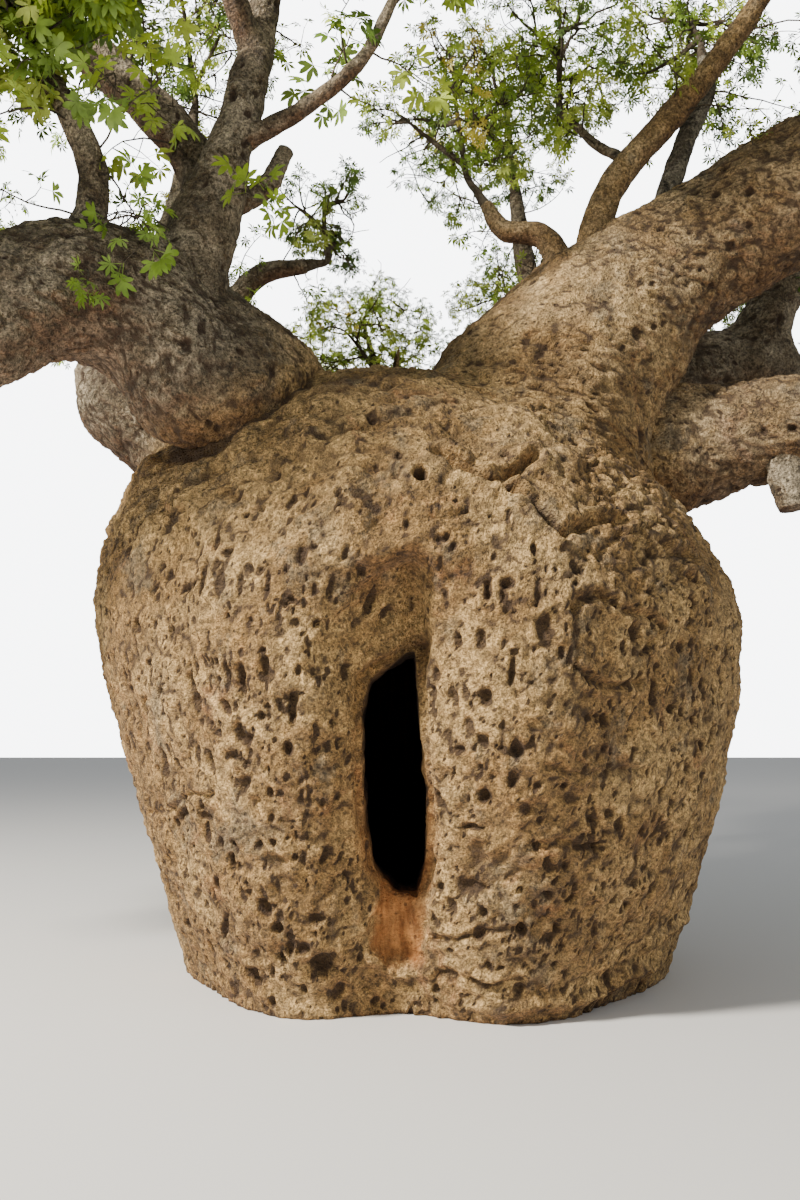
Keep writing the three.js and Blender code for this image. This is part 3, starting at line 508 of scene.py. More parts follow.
def press_lines(points, lines):
    """How high the creases and ridges lift each point, and how much painted shade and dirt the
    creases put on it (0 to 1).
    """
    lift = np.zeros(len(points))
    dark = np.zeros(len(points))
    wobble = LINE_WOBBLE * np.column_stack([soft_noise(points + 9 * k, 0.11) for k in (1, 2, 3)])
    for spots, width, height in lines:
        path = front_spots(spots)
        above = points > path.min(axis=0) - LINE_REACH * width
        below = points < path.max(axis=0) + LINE_REACH * width
        near = np.flatnonzero((above & below).all(axis=1))
        away = np.full(len(near), 9.0)
        for a, b in zip(path[:-1], path[1:]):
            from_a = points[near] + wobble[near] - a
            along = np.clip(from_a @ (b - a) / ((b - a) @ (b - a)), 0, 1)
            away = np.minimum(away, np.linalg.norm(from_a - along[:, None] * (b - a), axis=1))
        shape = np.exp(-((away / width) ** 2))
        if height < 0:
            lips = LIP_HEIGHT * np.exp(-(((away - 2.2 * width) / width) ** 2))
            lift[near] += height * (shape - lips)
            # A crease's dark is painted shade, with some dirt, stronger for a steeper crease.
            steepness = min(0.85, -height / (1.8 * width))
            dark[near] = np.maximum(dark[near], steepness * np.exp(-((away / (0.8 * width)) ** 2)))
        else:
            lift[near] += height * shape
    return lift, dark


# %% [markdown]
# ## The slit, its lips and the hood over it
#
# A door-like slit opens into the hollow heart. Bark has grown round its edges, so they are rolled
# in, and a brow hangs over it like a hood. Below the slit a ramp of bare, orange-brown wood runs
# down, worn smooth. Lips, brow and ramp are part of the relief. The hole itself is cut right
# through afterwards, by a Boolean, as it was in the solid.

# %% The slit's outline
SLIT_X = -0.13
# Each row is [height, half width to the left, half width to the right].
SLIT = np.array(
    [
        [0.7, 0.02, 0.1],
        [0.86, 0.16, 0.15],
        [1.1, 0.2, 0.16],
        [1.4, 0.22, 0.15],
        [1.75, 0.22, 0.11],
        [1.95, 0.18, 0.1],
        [2.12, -0.05, 0.09],
    ]
)
SLIT_OUTSIDE_Y = -2.7
SLIT_INSIDE_Y = -0.8
LIP_ROUND = 0.08
RAMP = [(0.9, 0.3), (0.7, 0.28), (0.45, 0.3), (0.28, 0.22)]  # [height, whole width] down the ramp


def slit_distance(p):
    """How far each point lies sideways or endways outside the slit, seen from the front."""
    x, z = p[:, 0], p[:, 2]
    wave = 0.012 * soft_noise(p * [1, 0.3, 1], 0.09)
    left = SLIT_X - np.interp(z, SLIT[:, 0], SLIT[:, 1])
    right = SLIT_X + np.interp(z, SLIT[:, 0], SLIT[:, 2])
    beside = np.maximum(left - x, x - right)
    beyond = np.maximum(SLIT[0, 0] - z, z - SLIT[-1, 0])
    away = np.hypot(np.maximum(beside, 0), np.maximum(beyond, 0))
    return np.where((beside < 0) & (beyond < 0), np.maximum(beside, beyond), away) + wave


def on_ramp(p):
    """From 0 off the ramp of bare wood to 1 on it."""
    heights = [row[0] for row in RAMP[::-1]]
    widths = [row[1] for row in RAMP[::-1]]
    half = np.interp(p[:, 2], heights, widths) / 2
    middle = SLIT_X + 0.01 + 0.02 * np.sin(9 * p[:, 2])
    ragged = 0.035 * rough_noise(p, 0.09, 2)
    across = ease_out(np.abs(p[:, 0] - middle) + ragged, half * 0.8, half * 1.2)
    height = p[:, 2] + ragged
    return across * ease_in(height, 0.27, 0.34) * ease_out(height, 0.86, 1.0) * (p[:, 1] < -0.8)


# %% [markdown]
# ## Thousands of small pits
#
# Between the listed pits the bark is pecked all over. The small pits need no list: seeded dice pick
# spots of the skin for them, and a rule says where they crowd. The lower barrel has the most, and
# tall narrow gouges crowd on the left of the front.

# %% Where small pits crowd
PIT_DEEPEST = 0.045
PIT_TILT = 14  # degrees, as a usual tilt to either side
pit_dice = np.random.default_rng(41)


def pitted(p):
    """The lower barrel is pitted most, in patches, and the ramp and the saddle least."""
    patches = 0.5 + 0.7 * soft_noise(p, 0.45)
    upper_right = ease_in(p[:, 2], 2.2, 2.7) * ease_in(p[:, 0], -0.2, 0.5)
    fading = ease_out(p[:, 2], 2.5, 3.3) * (1 - 0.7 * upper_right)
    return np.clip(patches, 0.05, 1) * fading * (on_ramp(p) < 0.1)


def specked(p):
    """Tiny holes lie all over, on the saddle and the shoulders too."""
    return np.clip(0.5 + 0.6 * soft_noise(p, 0.3), 0.1, 1) * (on_ramp(p) < 0.1)


def gouged(p):
    """Upright gouges crowd on the left of the front, above the knee of the barrel."""
    left = ease_out(p[:, 0], -0.5, 0.4) * ease_out(p[:, 1], -1.0, 0.0)
    return np.clip(left * ease_in(p[:, 2], 0.5, 1.2) + 0.12, 0, 1) * pitted(p) * 1.6


# %% Scattering them
def scatter_pits(count, low, high, keep, tallness=(0.7, 2.2)):
    """Seeded nameless pits: centres, outward ways and sizes, more of them where `keep` is high."""
    chosen = pit_dice.choice(len(skin) - 2, count * 4, replace=False)
    chance = keep(skin[chosen])
    chosen = chosen[pit_dice.random(len(chosen)) < chance][:count]
    width = pit_dice.uniform(low, high, len(chosen)) * pit_dice.uniform(0.7, 1, len(chosen))
    tall = width * pit_dice.uniform(*tallness, len(chosen))
    deep = np.minimum(1.2 * width, PIT_DEEPEST) * pit_dice.uniform(0.6, 1.2, len(chosen))
    tilt = pit_dice.normal(0, PIT_TILT, len(chosen))
    return skin[chosen], outwards[chosen], np.column_stack([width, tall, deep, tilt])


named = front_spots([pit[:2] for pit in PITS])
scattered = [
    scatter_pits(2300, 0.01, 0.021, pitted),
    scatter_pits(360, 0.02, 0.04, pitted),
    scatter_pits(60, 0.035, 0.06, pitted),
    scatter_pits(330, 0.012, 0.022, gouged, (2.2, 4.5)),
    scatter_pits(700, 0.009, 0.016, specked, (0.8, 1.4)),
]
pit_centres = np.vstack([named] + [row[0] for row in scattered])
pit_ways = np.vstack([skin_normals(named)] + [row[1] for row in scattered])
pit_sizes = np.vstack([[pit[2:] for pit in PITS]] + [row[2] for row in scattered])
print("Pits:", len(PITS), "named and", len(pit_sizes) - len(PITS), "scattered")

# %% [markdown]
# ## Lumps and folds
#
# Bark swells in lumps and sags in folds, like an elephant's skin. A fold is a place where smooth
# noise crosses zero: the line of zeros makes a sharp crease, and the bark stays soft between two of
# them. Lumps are the noise itself, or its absolute value where they should be puffed.

# %% Lumps and folds
# The wrinkled band on the right shoulder runs from one of these spots to the other.
FOLD_BAND = np.array([[1.3, -1.7, 2.85], [0.95, -0.95, 4.05]])
BAND_EDGE = (0.2, 0.75)
FOLD_SPACING = 0.072
FOLD_SEED = 3
FOLD_LIFT = 0.042
FOLDS_ELSEWHERE = 0.25  # how strong the folds are outside the band
SWOLLEN = 1.5  # how much larger the lumps are on the saddle


def wrinkles(p, spacing, seed):
    """Soft folds with sharp creases between them: -1 at a crease, 0 between."""
    bend = 0.9 * np.column_stack([soft_noise(p + seed + k, spacing * 3.2) for k in (0, 5, 9)])
    waves = soft_noise(p / spacing + bend + seed, [2.4, 2.4, 0.95])
    return -np.exp(-((waves / 0.16) ** 2))


def puffed(p, spacing, seed):
    """Rounded puffs of bark with sharp creases between them, and how near a crease each spot is."""
    waves = soft_noise(p + seed, spacing)
    return np.abs(waves) - 0.25, np.exp(-((waves / 0.14) ** 2))


def in_fold_band(p):
    """From 1 in the wrinkled band of the right shoulder to 0 outside it."""
    axis = FOLD_BAND[1] - FOLD_BAND[0]
    along = np.clip((p - FOLD_BAND[0]) @ axis / (axis @ axis), 0, 1)
    away = np.linalg.norm(p - FOLD_BAND[0] - along[:, None] * axis, axis=1)
    return ease_out(away, *BAND_EDGE)


def lump_size(p):
    """How swollen the large lumps are: most on the saddle and at the roots of the boughs."""
    return 1 + SWOLLEN * ease_in(p[:, 2], 2.6, 3.4)


def bark_base(p, size):
    """The unevenness that trunk and limbs share, and how much painted shade its creases take, with
    large lumps of `size`.
    """
    lift = size * (0.034 * soft_noise(p, 0.85) + 0.02 * soft_noise(p + 7, 0.36))
    coarse, coarse_crease = puffed(p, 0.17, 2)
    middling, middling_crease = puffed(p, 0.085, 4)
    lift += 0.024 * coarse + 0.018 * middling + 0.009 * soft_noise(p, 0.045)
    # The second number, how near a crease each spot is, becomes painted shade in the creases.
    return lift, 0.3 * coarse_crease + 0.35 * middling_crease


# %% [markdown]
# ## Where boughs butt against the trunk
#
# Most boughs run smoothly into the trunk, but two end like a rounded butt that leans on it, with a
# crease round the foot. Such a butt hangs over on one side, as if it had slumped. The trunk gets a
# shallow groove round both, so that they look pressed into it, and a painted shadow along the foot
# of each.

# %% The butts
# The first stretch of each of the two boughs, as [x, y, z, radius].
BUTT_ROOTS = [
    ([-0.85, -0.55, 3.62, 0.58], [-1.54, -1.15, 4.27, 0.48]),
    ([1.25, 0.18, 3.85, 0.42], [2.0, 0.05, 3.96, 0.41]),
]
SLUMP_WAY = np.array([0.1, -0.6, -0.79])
SLUMP = 0.64  # how much wider a butt is along that way
MOAT_DEPTH = 0.035
MOAT_WIDTH = 0.15


def near_butt(p):
    """How far each point lies outside the nearest bough that butts against the trunk."""
    nearest = np.full(len(p), 99.0)
    for foot, end in BUTT_ROOTS:
        axis = np.array(end[:3]) - foot[:3]
        along = np.clip((p - foot[:3]) @ axis / (axis @ axis), 0, 1)
        out = p - foot[:3] - along[:, None] * axis
        away = np.linalg.norm(out, axis=1)
        slumped = 1 + SLUMP * np.maximum(out @ SLUMP_WAY / (away + 1e-6), 0) ** 2
        nearest = np.minimum(nearest, away - (foot[3] + (end[3] - foot[3]) * along) * slumped)
    return nearest


# %% [markdown]
# ## The hood
#
# The two lobes of the trunk meet over the slit in an arched brow. Under it the bark lies back in a
# valley, which is wide on its left and steep on its right, and a narrow gully runs down its middle
# into the slit. The brow's line is a parabola with a little noise.

# %% The hood over the slit
BROW_TOP = 2.62
BROW_SLOPE = 0.22
BROW_ARCH = 1.1
BROW_EDGE = (-0.13, 0.03)  # the bark leans back over this stretch of the brow
VALLEY_X = -0.1
VALLEY_SIDES = (0.34, 0.1)  # how wide the valley is to its left and to its right
VALLEY_DEPTH = 0.11
GULLY_X = 0.02  # from the middle of the valley
GULLY_WIDTH = 0.055
GULLY_DEPTH = 0.1


def valley_under_brow(p):
    """How far the bark under the brow lies back."""
    x, _, z = p.T
    from_valley = x - VALLEY_X
    valley_side = np.where(from_valley < 0, *VALLEY_SIDES) + 0.05 * soft_noise(p + 3, 0.3)
    brow = BROW_TOP + BROW_SLOPE * from_valley - BROW_ARCH * from_valley**2
    brow = brow + 0.08 * soft_noise(p, 0.35)
    under = ease_out(z, brow + BROW_EDGE[0], brow + BROW_EDGE[1]) * ease_in(z, 1.2, 2.4)
    return VALLEY_DEPTH * under * np.exp(-((from_valley / valley_side) ** 2))


def gully_over_slit(p):
    """How deep the gully is that runs down the valley."""
    x, _, z = p.T
    across_gully = np.exp(-(((x - VALLEY_X - GULLY_X) / GULLY_WIDTH) ** 2))
    return GULLY_DEPTH * (across_gully * ease_out(z, 2.36, 2.66) * ease_in(z, 1.9, 2.15))


# %% [markdown]
# ## The whole relief
#
# All marks are added up into one number for each point: how far the bark stands out of the plain
# skin. A second number says how dark the spot is: painted shade, with the dirt that gathers there,
# in pits and creases, a painted shadow round the foot of each butt, and painted shade on a patch
# low on the right of the front. Then each point moves along its outward way by the first number.

# %% The relief of the whole trunk
FRONT_EDGE = (-1.7, -1.2)
BIG_FOLD_SPACING = 0.17
BIG_FOLD_LIFT = 0.026
RIB_LIFT = 0.012
RAMP_DEPTH = 0.06
RAMP_SMOOTH = 0.75  # how much of the bark's relief is worn off the ramp
# The greatest painted shade of each kind of crease, the painted shadow at the foot of a butt, and
# the painted shade of the patch low on the right of the front.
FOLD_DARK = 0.5
BIG_FOLD_DARK = 0.4
BUTT_SHADOW = 0.5
BUTT_SHADOW_WIDTH = 0.04
LOW_RIGHT_SHADE = 0.26
LOW_RIGHT_PATCH = [0.72, 0.45, 0.62, 0.3]  # its middle [x, z] and half its width and height


def trunk_relief(p):
    """How far the bark stands out of the plain skin, and its painted shade and dirt (0 to 1)."""
    x, y, z = p.T
    front = ease_out(y, *FRONT_EDGE)
    lift, creased = bark_base(p, lump_size(p))
    big_folds = wrinkles(p, BIG_FOLD_SPACING, 31) * ease_in(z, 2.5, 3.1)
    lift += BIG_FOLD_LIFT * big_folds
    from_butt = np.maximum(near_butt(p), 0)
    lift -= MOAT_DEPTH * np.exp(-((from_butt / MOAT_WIDTH) ** 2))
    lift += ease_out(z, 1.6, 2.8) * RIB_LIFT * soft_noise(p * [1, 1, 0.25], 0.07)
    folds = wrinkles(p, FOLD_SPACING, FOLD_SEED)
    folded = np.maximum(in_fold_band(p), FOLDS_ELSEWHERE * ease_in(z, 2.3, 3.0))
    lift += FOLD_LIFT * folds * folded
    lift -= valley_under_brow(p) * front
    lift -= gully_over_slit(p) * front
    pit_depth, pit_dark = press_pits(p, pit_centres, pit_ways, pit_sizes)
    line_lift, line_dark = press_lines(p, LINES)
    lift += line_lift - pit_depth
    ramp = on_ramp(p)
    lift = lift * (1 - RAMP_SMOOTH * ramp) - RAMP_DEPTH * ramp
    edge = np.clip(slit_distance(p) / LIP_ROUND, 0, 1)
    rolled = LIP_ROUND * (1 - np.sqrt(1 - (1 - edge) ** 2)) * front

    # Pits, creases and folds are darkened with painted shade, and some dirt.
    dark = np.maximum(np.maximum(pit_dark, line_dark), creased) * (1 - ramp)
    dark = np.maximum(dark, FOLD_DARK * ease_in(-folds, 0.3, 1) * folded)
    dark = np.maximum(dark, BIG_FOLD_DARK * ease_in(-big_folds, 0.3, 1))
    # A painted shadow darkens the trunk round the foot of each butt.
    dark = np.maximum(dark, BUTT_SHADOW * np.exp(-((from_butt / BUTT_SHADOW_WIDTH) ** 2)))
    # A broad patch low on the right of the front is darkened with painted shade.
    middle_x, middle_z, half_width, half_height = LOW_RIGHT_PATCH
    patch = np.hypot((x - middle_x) / half_width, (z - middle_z) / half_height)
    dark = np.maximum(dark, LOW_RIGHT_SHADE * (ease_out(patch, 0.4, 1.1) * front))
    return lift - rolled, dark


# %% Raising the bark
lift, _ = trunk_relief(skin)
outwards[:, 2] *= ease_in(skin[:, 2], 0.0, 0.25)  # the foot moves only sideways
outwards[-2] = 0
bark = skin + outwards * lift[:, None]
bark[:TRUNK_COLUMNS, 2] = 0
bark[:, 2] = np.maximum(bark[:, 2], 0)
trunk = make_mesh("trunk_bark", bark, tube_faces(LEVEL_RINGS + LEANING_RINGS, TRUNK_COLUMNS))
print("The relief runs from", round(lift.min(), 3), "to", round(lift.max(), 3), "m")

# %% [markdown]
# ## Hollowing the trunk
#
# Two cutters are made: a wavy-walled wedge for the slit and a rough egg for the chamber. A Boolean
# takes both out of the bark. The Manifold solver is used because both meshes are closed and it is
# by far the quickest on them. Then a Decimate thins out the flat places, so that the trunk stays
# light enough and keeps its points where the relief needs them.

# %% Cutters
# Each row of the chamber is [height, radius], from its floor to its roof.
CHAMBER = np.array(
    [[0.42, 0], [0.42, 1.1], [0.9, 1.3], [1.7, 1.48], [2.4, 1.4], [2.95, 0.95], [3.2, 0]]
)
TRUNK_FACES = 198_000


def lengths_along(path):
    """How far along a path each of its points lies."""
    return np.concatenate([[0], np.cumsum(np.linalg.norm(np.diff(path, axis=0), axis=1))])


def slit_cutter():
    """A long wavy-walled wedge with the slit's outline, from inside the chamber to the open air."""
    rows, half = 26, 60
    up = np.column_stack([SLIT_X + SLIT[:, 2], SLIT[:, 0]])
    down = np.column_stack([SLIT_X - SLIT[:, 1], SLIT[:, 0]])[::-1]
    outline = np.vstack([up, down, up[:1]])
    along = lengths_along(outline)
    spots = np.linspace(0, along[-1], 2 * half, endpoint=False)
    x = np.interp(spots, along, outline[:, 0])
    z = np.interp(spots, along, outline[:, 1])
    rings = [
        np.column_stack([x, np.full(len(x), depth), z])
        for depth in np.linspace(SLIT_INSIDE_Y, SLIT_OUTSIDE_Y, rows)
    ]
    points = np.vstack(rings)
    middle = np.array([SLIT_X + 0.02, 0, 1.4])
    away = (points - middle) * [1, 0, 1]
    away /= np.linalg.norm(away, axis=1)[:, None]
    points += away * (0.026 * rough_noise(points, 0.17, 3))[:, None]
    foot = [SLIT_X, SLIT_INSIDE_Y, 1.4]
    tip = [SLIT_X, SLIT_OUTSIDE_Y, 1.4]
    return make_mesh("slit_cutter", np.vstack([points, foot, tip]), tube_faces(rows, 2 * half))


# %% The chamber's cutter
def chamber_cutter():
    """A rough egg inside the trunk."""
    rows, columns = 44, 84
    along = lengths_along(CHAMBER)
    spots = np.linspace(0, along[-1], rows + 2)[1:-1]
    heights = np.interp(spots, along, CHAMBER[:, 0])
    radii = np.interp(spots, along, CHAMBER[:, 1])
    angles = np.linspace(0, 2 * math.pi, columns, endpoint=False)
    rings = [
        np.column_stack([r * np.cos(angles), r * np.sin(angles), np.full(columns, z)])
        for r, z in zip(radii, heights)
    ]
    points = np.vstack(rings + [[[0, 0, CHAMBER[0, 0]]], [[0, 0, CHAMBER[-1, 0]]]])
    squeeze = 0.95 - 0.06 * rough_noise(points, 0.6, 4)
    points[:, :2] *= squeeze[:, None]
    points[:, 2] += 0.03 * soft_noise(points, 0.4)
    return make_mesh("chamber_cutter", points, tube_faces(rows, columns))


# %% Cut and thin
def apply_modifier(piece, modifier):
    with bpy.context.temp_override(object=piece, active_object=piece):
        bpy.ops.object.modifier_apply(modifier=modifier.name)


def cut_out(piece, cutter):
    carve = piece.modifiers.new("carve", "BOOLEAN")
    carve.operation = "DIFFERENCE"
    carve.solver = "MANIFOLD"
    carve.object = cutter
    apply_modifier(piece, carve)
    bpy.data.objects.remove(cutter)


def thin_out(piece, faces):
    thin = piece.modifiers.new("thin", "DECIMATE")
    thin.ratio = faces / len(piece.data.polygons)
    apply_modifier(piece, thin)


before = len(trunk.data.polygons)
cut_out(trunk, chamber_cutter())
cut_out(trunk, slit_cutter())
hollowed = len(trunk.data.polygons)
thin_out(trunk, TRUNK_FACES)
places = points_of(trunk)
places[:, 2] = np.maximum(places[:, 2], 0)
trunk.data.vertices.foreach_set("co", np.ascontiguousarray(places, np.float32).ravel())
trunk.data.update()
print("Trunk faces:", before, "whole,", hollowed, "hollowed,", len(trunk.data.polygons), "thinned")

# %% [markdown]
# ## Telling the material what is where
#
# A material can read a number kept at each point, a field. The trunk has five: how dark a spot is
# with painted shade and dirt in a pit or crease, painted shadow round a butt and painted shade low
# on the right, how far it is bare wood, how far inside the hollow it is, where the wood is painted
# dark as shade, how far it faces down, which gets painted shade, and how grey its bark is. They are
# worked out from the finished points, so they survive the cutting.


# %% Fields of the trunk
def faces_down(piece):
    """From 0 where the surface faces up or sideways to 1 where it faces down."""
    flat = np.empty(len(piece.data.vertices) * 3, np.float32)
    piece.data.vertex_normals.foreach_get("vector", flat)
    return ease_in(-flat.reshape(-1, 3)[:, 2], 0.1, 0.85)


_, dark = trunk_relief(places)
depth = -outside_trunk(places)
hollow = ease_in(depth, 0.16, 0.42) * (np.hypot(places[:, 0], places[:, 1]) < 2.2)
near_slit = ease_out(slit_distance(places), 0.0, 0.1) * (places[:, 1] < -0.8)
bare = np.maximum(on_ramp(places), 0.55 * near_slit * ease_out(places[:, 2], 0.9, 1.9))
# The dark field carries painted shade, with some dirt, in pits and creases, round the butts and low
# on the right.
set_field(trunk, "dark", dark * (1 - hollow))
set_field(trunk, "bare", bare)
set_field(trunk, "hollow", hollow)
# Bark that faces down gets painted shade.
set_field(trunk, "shade_below", faces_down(trunk))
set_field(trunk, "grey", np.zeros(len(places)))
print("Bare wood on", int((bare > 0.5).sum()), "points, hollow on", int((hollow > 0.5).sum()))

# %% [markdown]
# ## Boughs and limbs
#
# Each bough is a tapering tube bent along a smooth curve, with a fold or a knot here and there. The
# solids' control points are repeated here as [x, y, z, radius], so that each tube lies where its
# solid is. The rings stand a few centimetres apart, closer on the boughs nearest the camera.

# %% The limbs' control points
LIMBS = {
    "bough_left_front": ("trunk", [
        [-0.85, -0.55, 3.62, 0.58], [-1.54, -1.15, 4.27, 0.48], [-2.15, -1.58, 4.44, 0.46],
        [-2.52, -1.8, 4.26, 0.4],
    ]),
    "bough_left_droop": ("bough_left_front", [
        [-2.42, -1.75, 4.29, 0.36], [-2.8, -1.97, 3.98, 0.38], [-3.65, -2.15, 4.2, 0.32],
        [-4.5, -2.1, 4.9, 0.2],
    ]),
    "limb_left_riser": ("bough_left_front", [
        [-1.62, -1.28, 4.46, 0.27], [-1.42, -1.34, 5.1, 0.23], [-1.3, -1.36, 5.5, 0.155],
        [-1.15, -1.25, 6.3, 0.13], [-1.05, -1.1, 7.4, 0.1],
    ]),
    "limb_left_back": ("bough_left_front", [
        [-1.72, -1.1, 4.5, 0.22], [-1.55, -0.95, 5.6, 0.17], [-2.3, -1.1, 6.45, 0.15],
        [-3.15, -1.3, 7.1, 0.1],
    ]),
    "limb_left_outer": ("bough_left_front", [
        [-2.16, -1.66, 4.6, 0.14], [-2.08, -1.72, 5.15, 0.1], [-2.18, -1.8, 5.45, 0.085],
        [-2.35, -1.88, 5.75, 0.06],
    ]),
    "limb_left_arch": ("limb_left_riser", [
        [-1.25, -1.33, 5.62, 0.07], [-0.8, -1.42, 5.82, 0.058], [-0.4, -1.52, 6.1, 0.046],
        [-0.15, -1.6, 6.55, 0.034],
    ]),
    "stub_left": ("limb_left_riser", [
        [-1.4, -1.25, 5.15, 0.08], [-1.08, -1.08, 5.45, 0.075], [-0.95, -1.0, 5.78, 0.06],
    ]),
    "bough_left_rear": ("trunk", [
        [-1.2, 0.35, 3.5, 0.5], [-1.95, 0.45, 4.05, 0.44], [-2.45, 0.55, 4.4, 0.4],
        [-2.6, 0.75, 4.85, 0.32],
    ]),
    "limb_left_rear": ("bough_left_rear", [
        [-2.62, 0.75, 4.65, 0.24], [-2.95, 1.05, 5.4, 0.19], [-3.6, 1.35, 6.0, 0.14],
        [-4.2, 1.55, 6.35, 0.09],
    ]),
    "limb_left_high": ("bough_left_rear", [
        [-2.5, 0.8, 4.7, 0.22], [-2.4, 1.1, 5.7, 0.17], [-2.25, 1.35, 6.7, 0.13],
        [-2.2, 1.5, 7.55, 0.08],
    ]),
    "limb_middle": ("bough_left_rear", [
        [-2.2, 0.52, 4.4, 0.14], [-1.75, 0.6, 5.1, 0.11], [-1.35, 0.6, 5.62, 0.09],
        [-0.95, 0.62, 5.72, 0.06],
    ]),
    "bough_right_front": ("trunk", [
        [0.95, -0.1, 4.1, 0.72], [1.47, -0.15, 4.8, 0.62], [2.3, -0.32, 5.43, 0.51],
        [3.0, -0.58, 5.78, 0.48], [3.55, -0.82, 5.95, 0.4],
    ]),
    "bough_right_outer": ("bough_right_front", [
        [3.4, -0.76, 5.88, 0.34], [4.1, -1.0, 6.2, 0.25], [4.75, -1.15, 6.75, 0.14],
    ]),
    "bough_right_fore": ("bough_right_front", [
        [3.2, -0.9, 5.9, 0.26], [3.55, -1.7, 6.25, 0.19], [3.9, -2.5, 6.65, 0.11],
    ]),
    "limb_fore_right": ("bough_right_front", [
        [2.96, -0.56, 6.06, 0.16], [3.2, -1.05, 6.85, 0.12], [2.75, -1.65, 7.5, 0.08],
    ]),
    "bough_right_low": ("trunk", [
        [1.25, 0.18, 3.85, 0.42], [2.0, 0.05, 3.96, 0.41], [2.85, -0.3, 3.98, 0.37],
        [3.6, -0.75, 4.12, 0.3], [4.2, -1.05, 4.55, 0.2],
    ]),
    "stub_right_low": ("bough_right_low", [
        [2.74, -0.26, 3.85, 0.16], [2.76, -0.38, 3.5, 0.13], [2.78, -0.4, 3.3, 0.1],
    ]),
    "bough_right_rear": ("trunk", [
        [1.1, 0.85, 3.65, 0.48], [1.85, 1.1, 4.45, 0.45], [2.6, 1.15, 4.92, 0.42],
        [3.25, 1.1, 4.95, 0.32],
    ]),
    "limb_right_riser": ("bough_right_rear", [
        [3.05, 1.08, 4.85, 0.27], [3.25, 1.0, 5.5, 0.23], [3.8, 1.15, 6.3, 0.17],
        [4.4, 1.4, 6.95, 0.1],
    ]),
    "limb_right_rear": ("bough_right_rear", [
        [3.0, 1.2, 4.85, 0.22], [3.9, 1.75, 4.95, 0.17], [4.5, 2.15, 5.3, 0.1],
    ]),
    "limb_pale": ("bough_right_front", [
        [1.32, -0.18, 5.1, 0.15], [1.55, -0.2, 5.95, 0.12], [2.1, -0.3, 6.6, 0.105],
        [2.62, -0.5, 7.25, 0.085], [2.95, -0.65, 7.8, 0.06],
    ]),
    "limb_mottled": ("bough_right_front", [
        [1.95, -0.1, 5.7, 0.11], [2.2, -0.08, 6.45, 0.085], [2.42, 0.0, 6.95, 0.075],
        [2.5, 0.3, 7.45, 0.05],
    ]),
    "limb_crooked": ("bough_right_front", [
        [1.22, -0.02, 5.15, 0.12], [1.05, 0.05, 5.68, 0.1], [0.72, 0.1, 5.78, 0.085],
        [0.58, 0.1, 6.0, 0.05],
    ]),
    "limb_inner": ("limb_pale", [
        [1.75, -0.22, 6.18, 0.05], [1.5, -0.05, 6.42, 0.042], [1.35, 0.1, 6.7, 0.032],
    ]),
    "bough_rear": ("trunk", [
        [-0.05, 1.05, 3.6, 0.46], [-0.1, 1.9, 4.3, 0.36], [-0.15, 2.75, 4.75, 0.25],
    ]),
    "limb_rear_mid": ("bough_rear", [
        [-0.1, 2.0, 4.4, 0.2], [0.42, 2.7, 4.95, 0.15], [0.95, 3.4, 5.65, 0.09],
    ]),
    "bough_rear_left": ("trunk", [
        [-0.85, 1.0, 3.6, 0.42], [-1.5, 1.95, 4.5, 0.3], [-2.1, 2.7, 5.4, 0.2],
        [-2.5, 3.15, 6.0, 0.12],
    ]),
    "bough_rear_right": ("trunk", [
        [0.7, 1.0, 3.6, 0.42], [1.25, 2.0, 4.5, 0.31], [1.95, 2.8, 5.3, 0.21],
        [2.6, 3.3, 5.9, 0.12],
    ]),
    "limb_rear_high": ("bough_rear_right", [
        [1.5, 2.25, 4.8, 0.17], [1.3, 2.15, 5.8, 0.13], [1.15, 2.2, 6.7, 0.1],
        [1.1, 2.25, 7.3, 0.07],
    ]),
    "limb_fore_left": ("bough_left_droop", [
        [-3.5, -2.15, 4.2, 0.18], [-3.75, -2.75, 4.85, 0.13], [-3.8, -3.1, 5.4, 0.09],
    ]),
    "limb_fore_high": ("limb_left_riser", [
        [-1.15, -1.25, 6.35, 0.1], [-1.4, -1.8, 6.95, 0.08], [-1.5, -2.3, 7.4, 0.06],
    ]),
}
print("Limbs listed:", len(LIMBS))

# %% [markdown]
# ## From control points to tubes
#
# A tube needs a side way at each ring. If each ring picked its own, the tube would twist, so the
# side way is carried on from ring to ring. The line is drawn on backwards into the parent as well,
# so that the tube's end lies hidden inside it.

# %% Lines and frames
NEAR_LIMBS = ("bough_left", "bough_right_front", "bough_right_low", "stub")
NEAR_SPACING = 0.019
FAR_SPACING = 0.036
CURVE_STEPS = 60  # between two control points
TRUNK_HEART = np.array([0, 0, 2.6])
ROOT_LENGTH = 1.1  # in shares of the limb's radius
ROOT_TAPER = 0.6


def unit(way):
    return way / np.linalg.norm(way)


def way_along(path):
    """The unit way that a path runs at each of its points."""
    way = np.gradient(path, axis=0)
    return way / np.linalg.norm(way, axis=1)[:, None]


def carried_frames(ways):
    """A side way for each point of a path that never twists round the path."""
    first = np.cross(ways[0], [0.31, 0.17, 0.93])
    sides = [first / np.linalg.norm(first)]
    for way in ways[1:]:
        side = sides[-1] - way * (way @ sides[-1])
        sides.append(side / np.linalg.norm(side))
    sides = np.array(sides)
    return sides, np.cross(ways, sides)


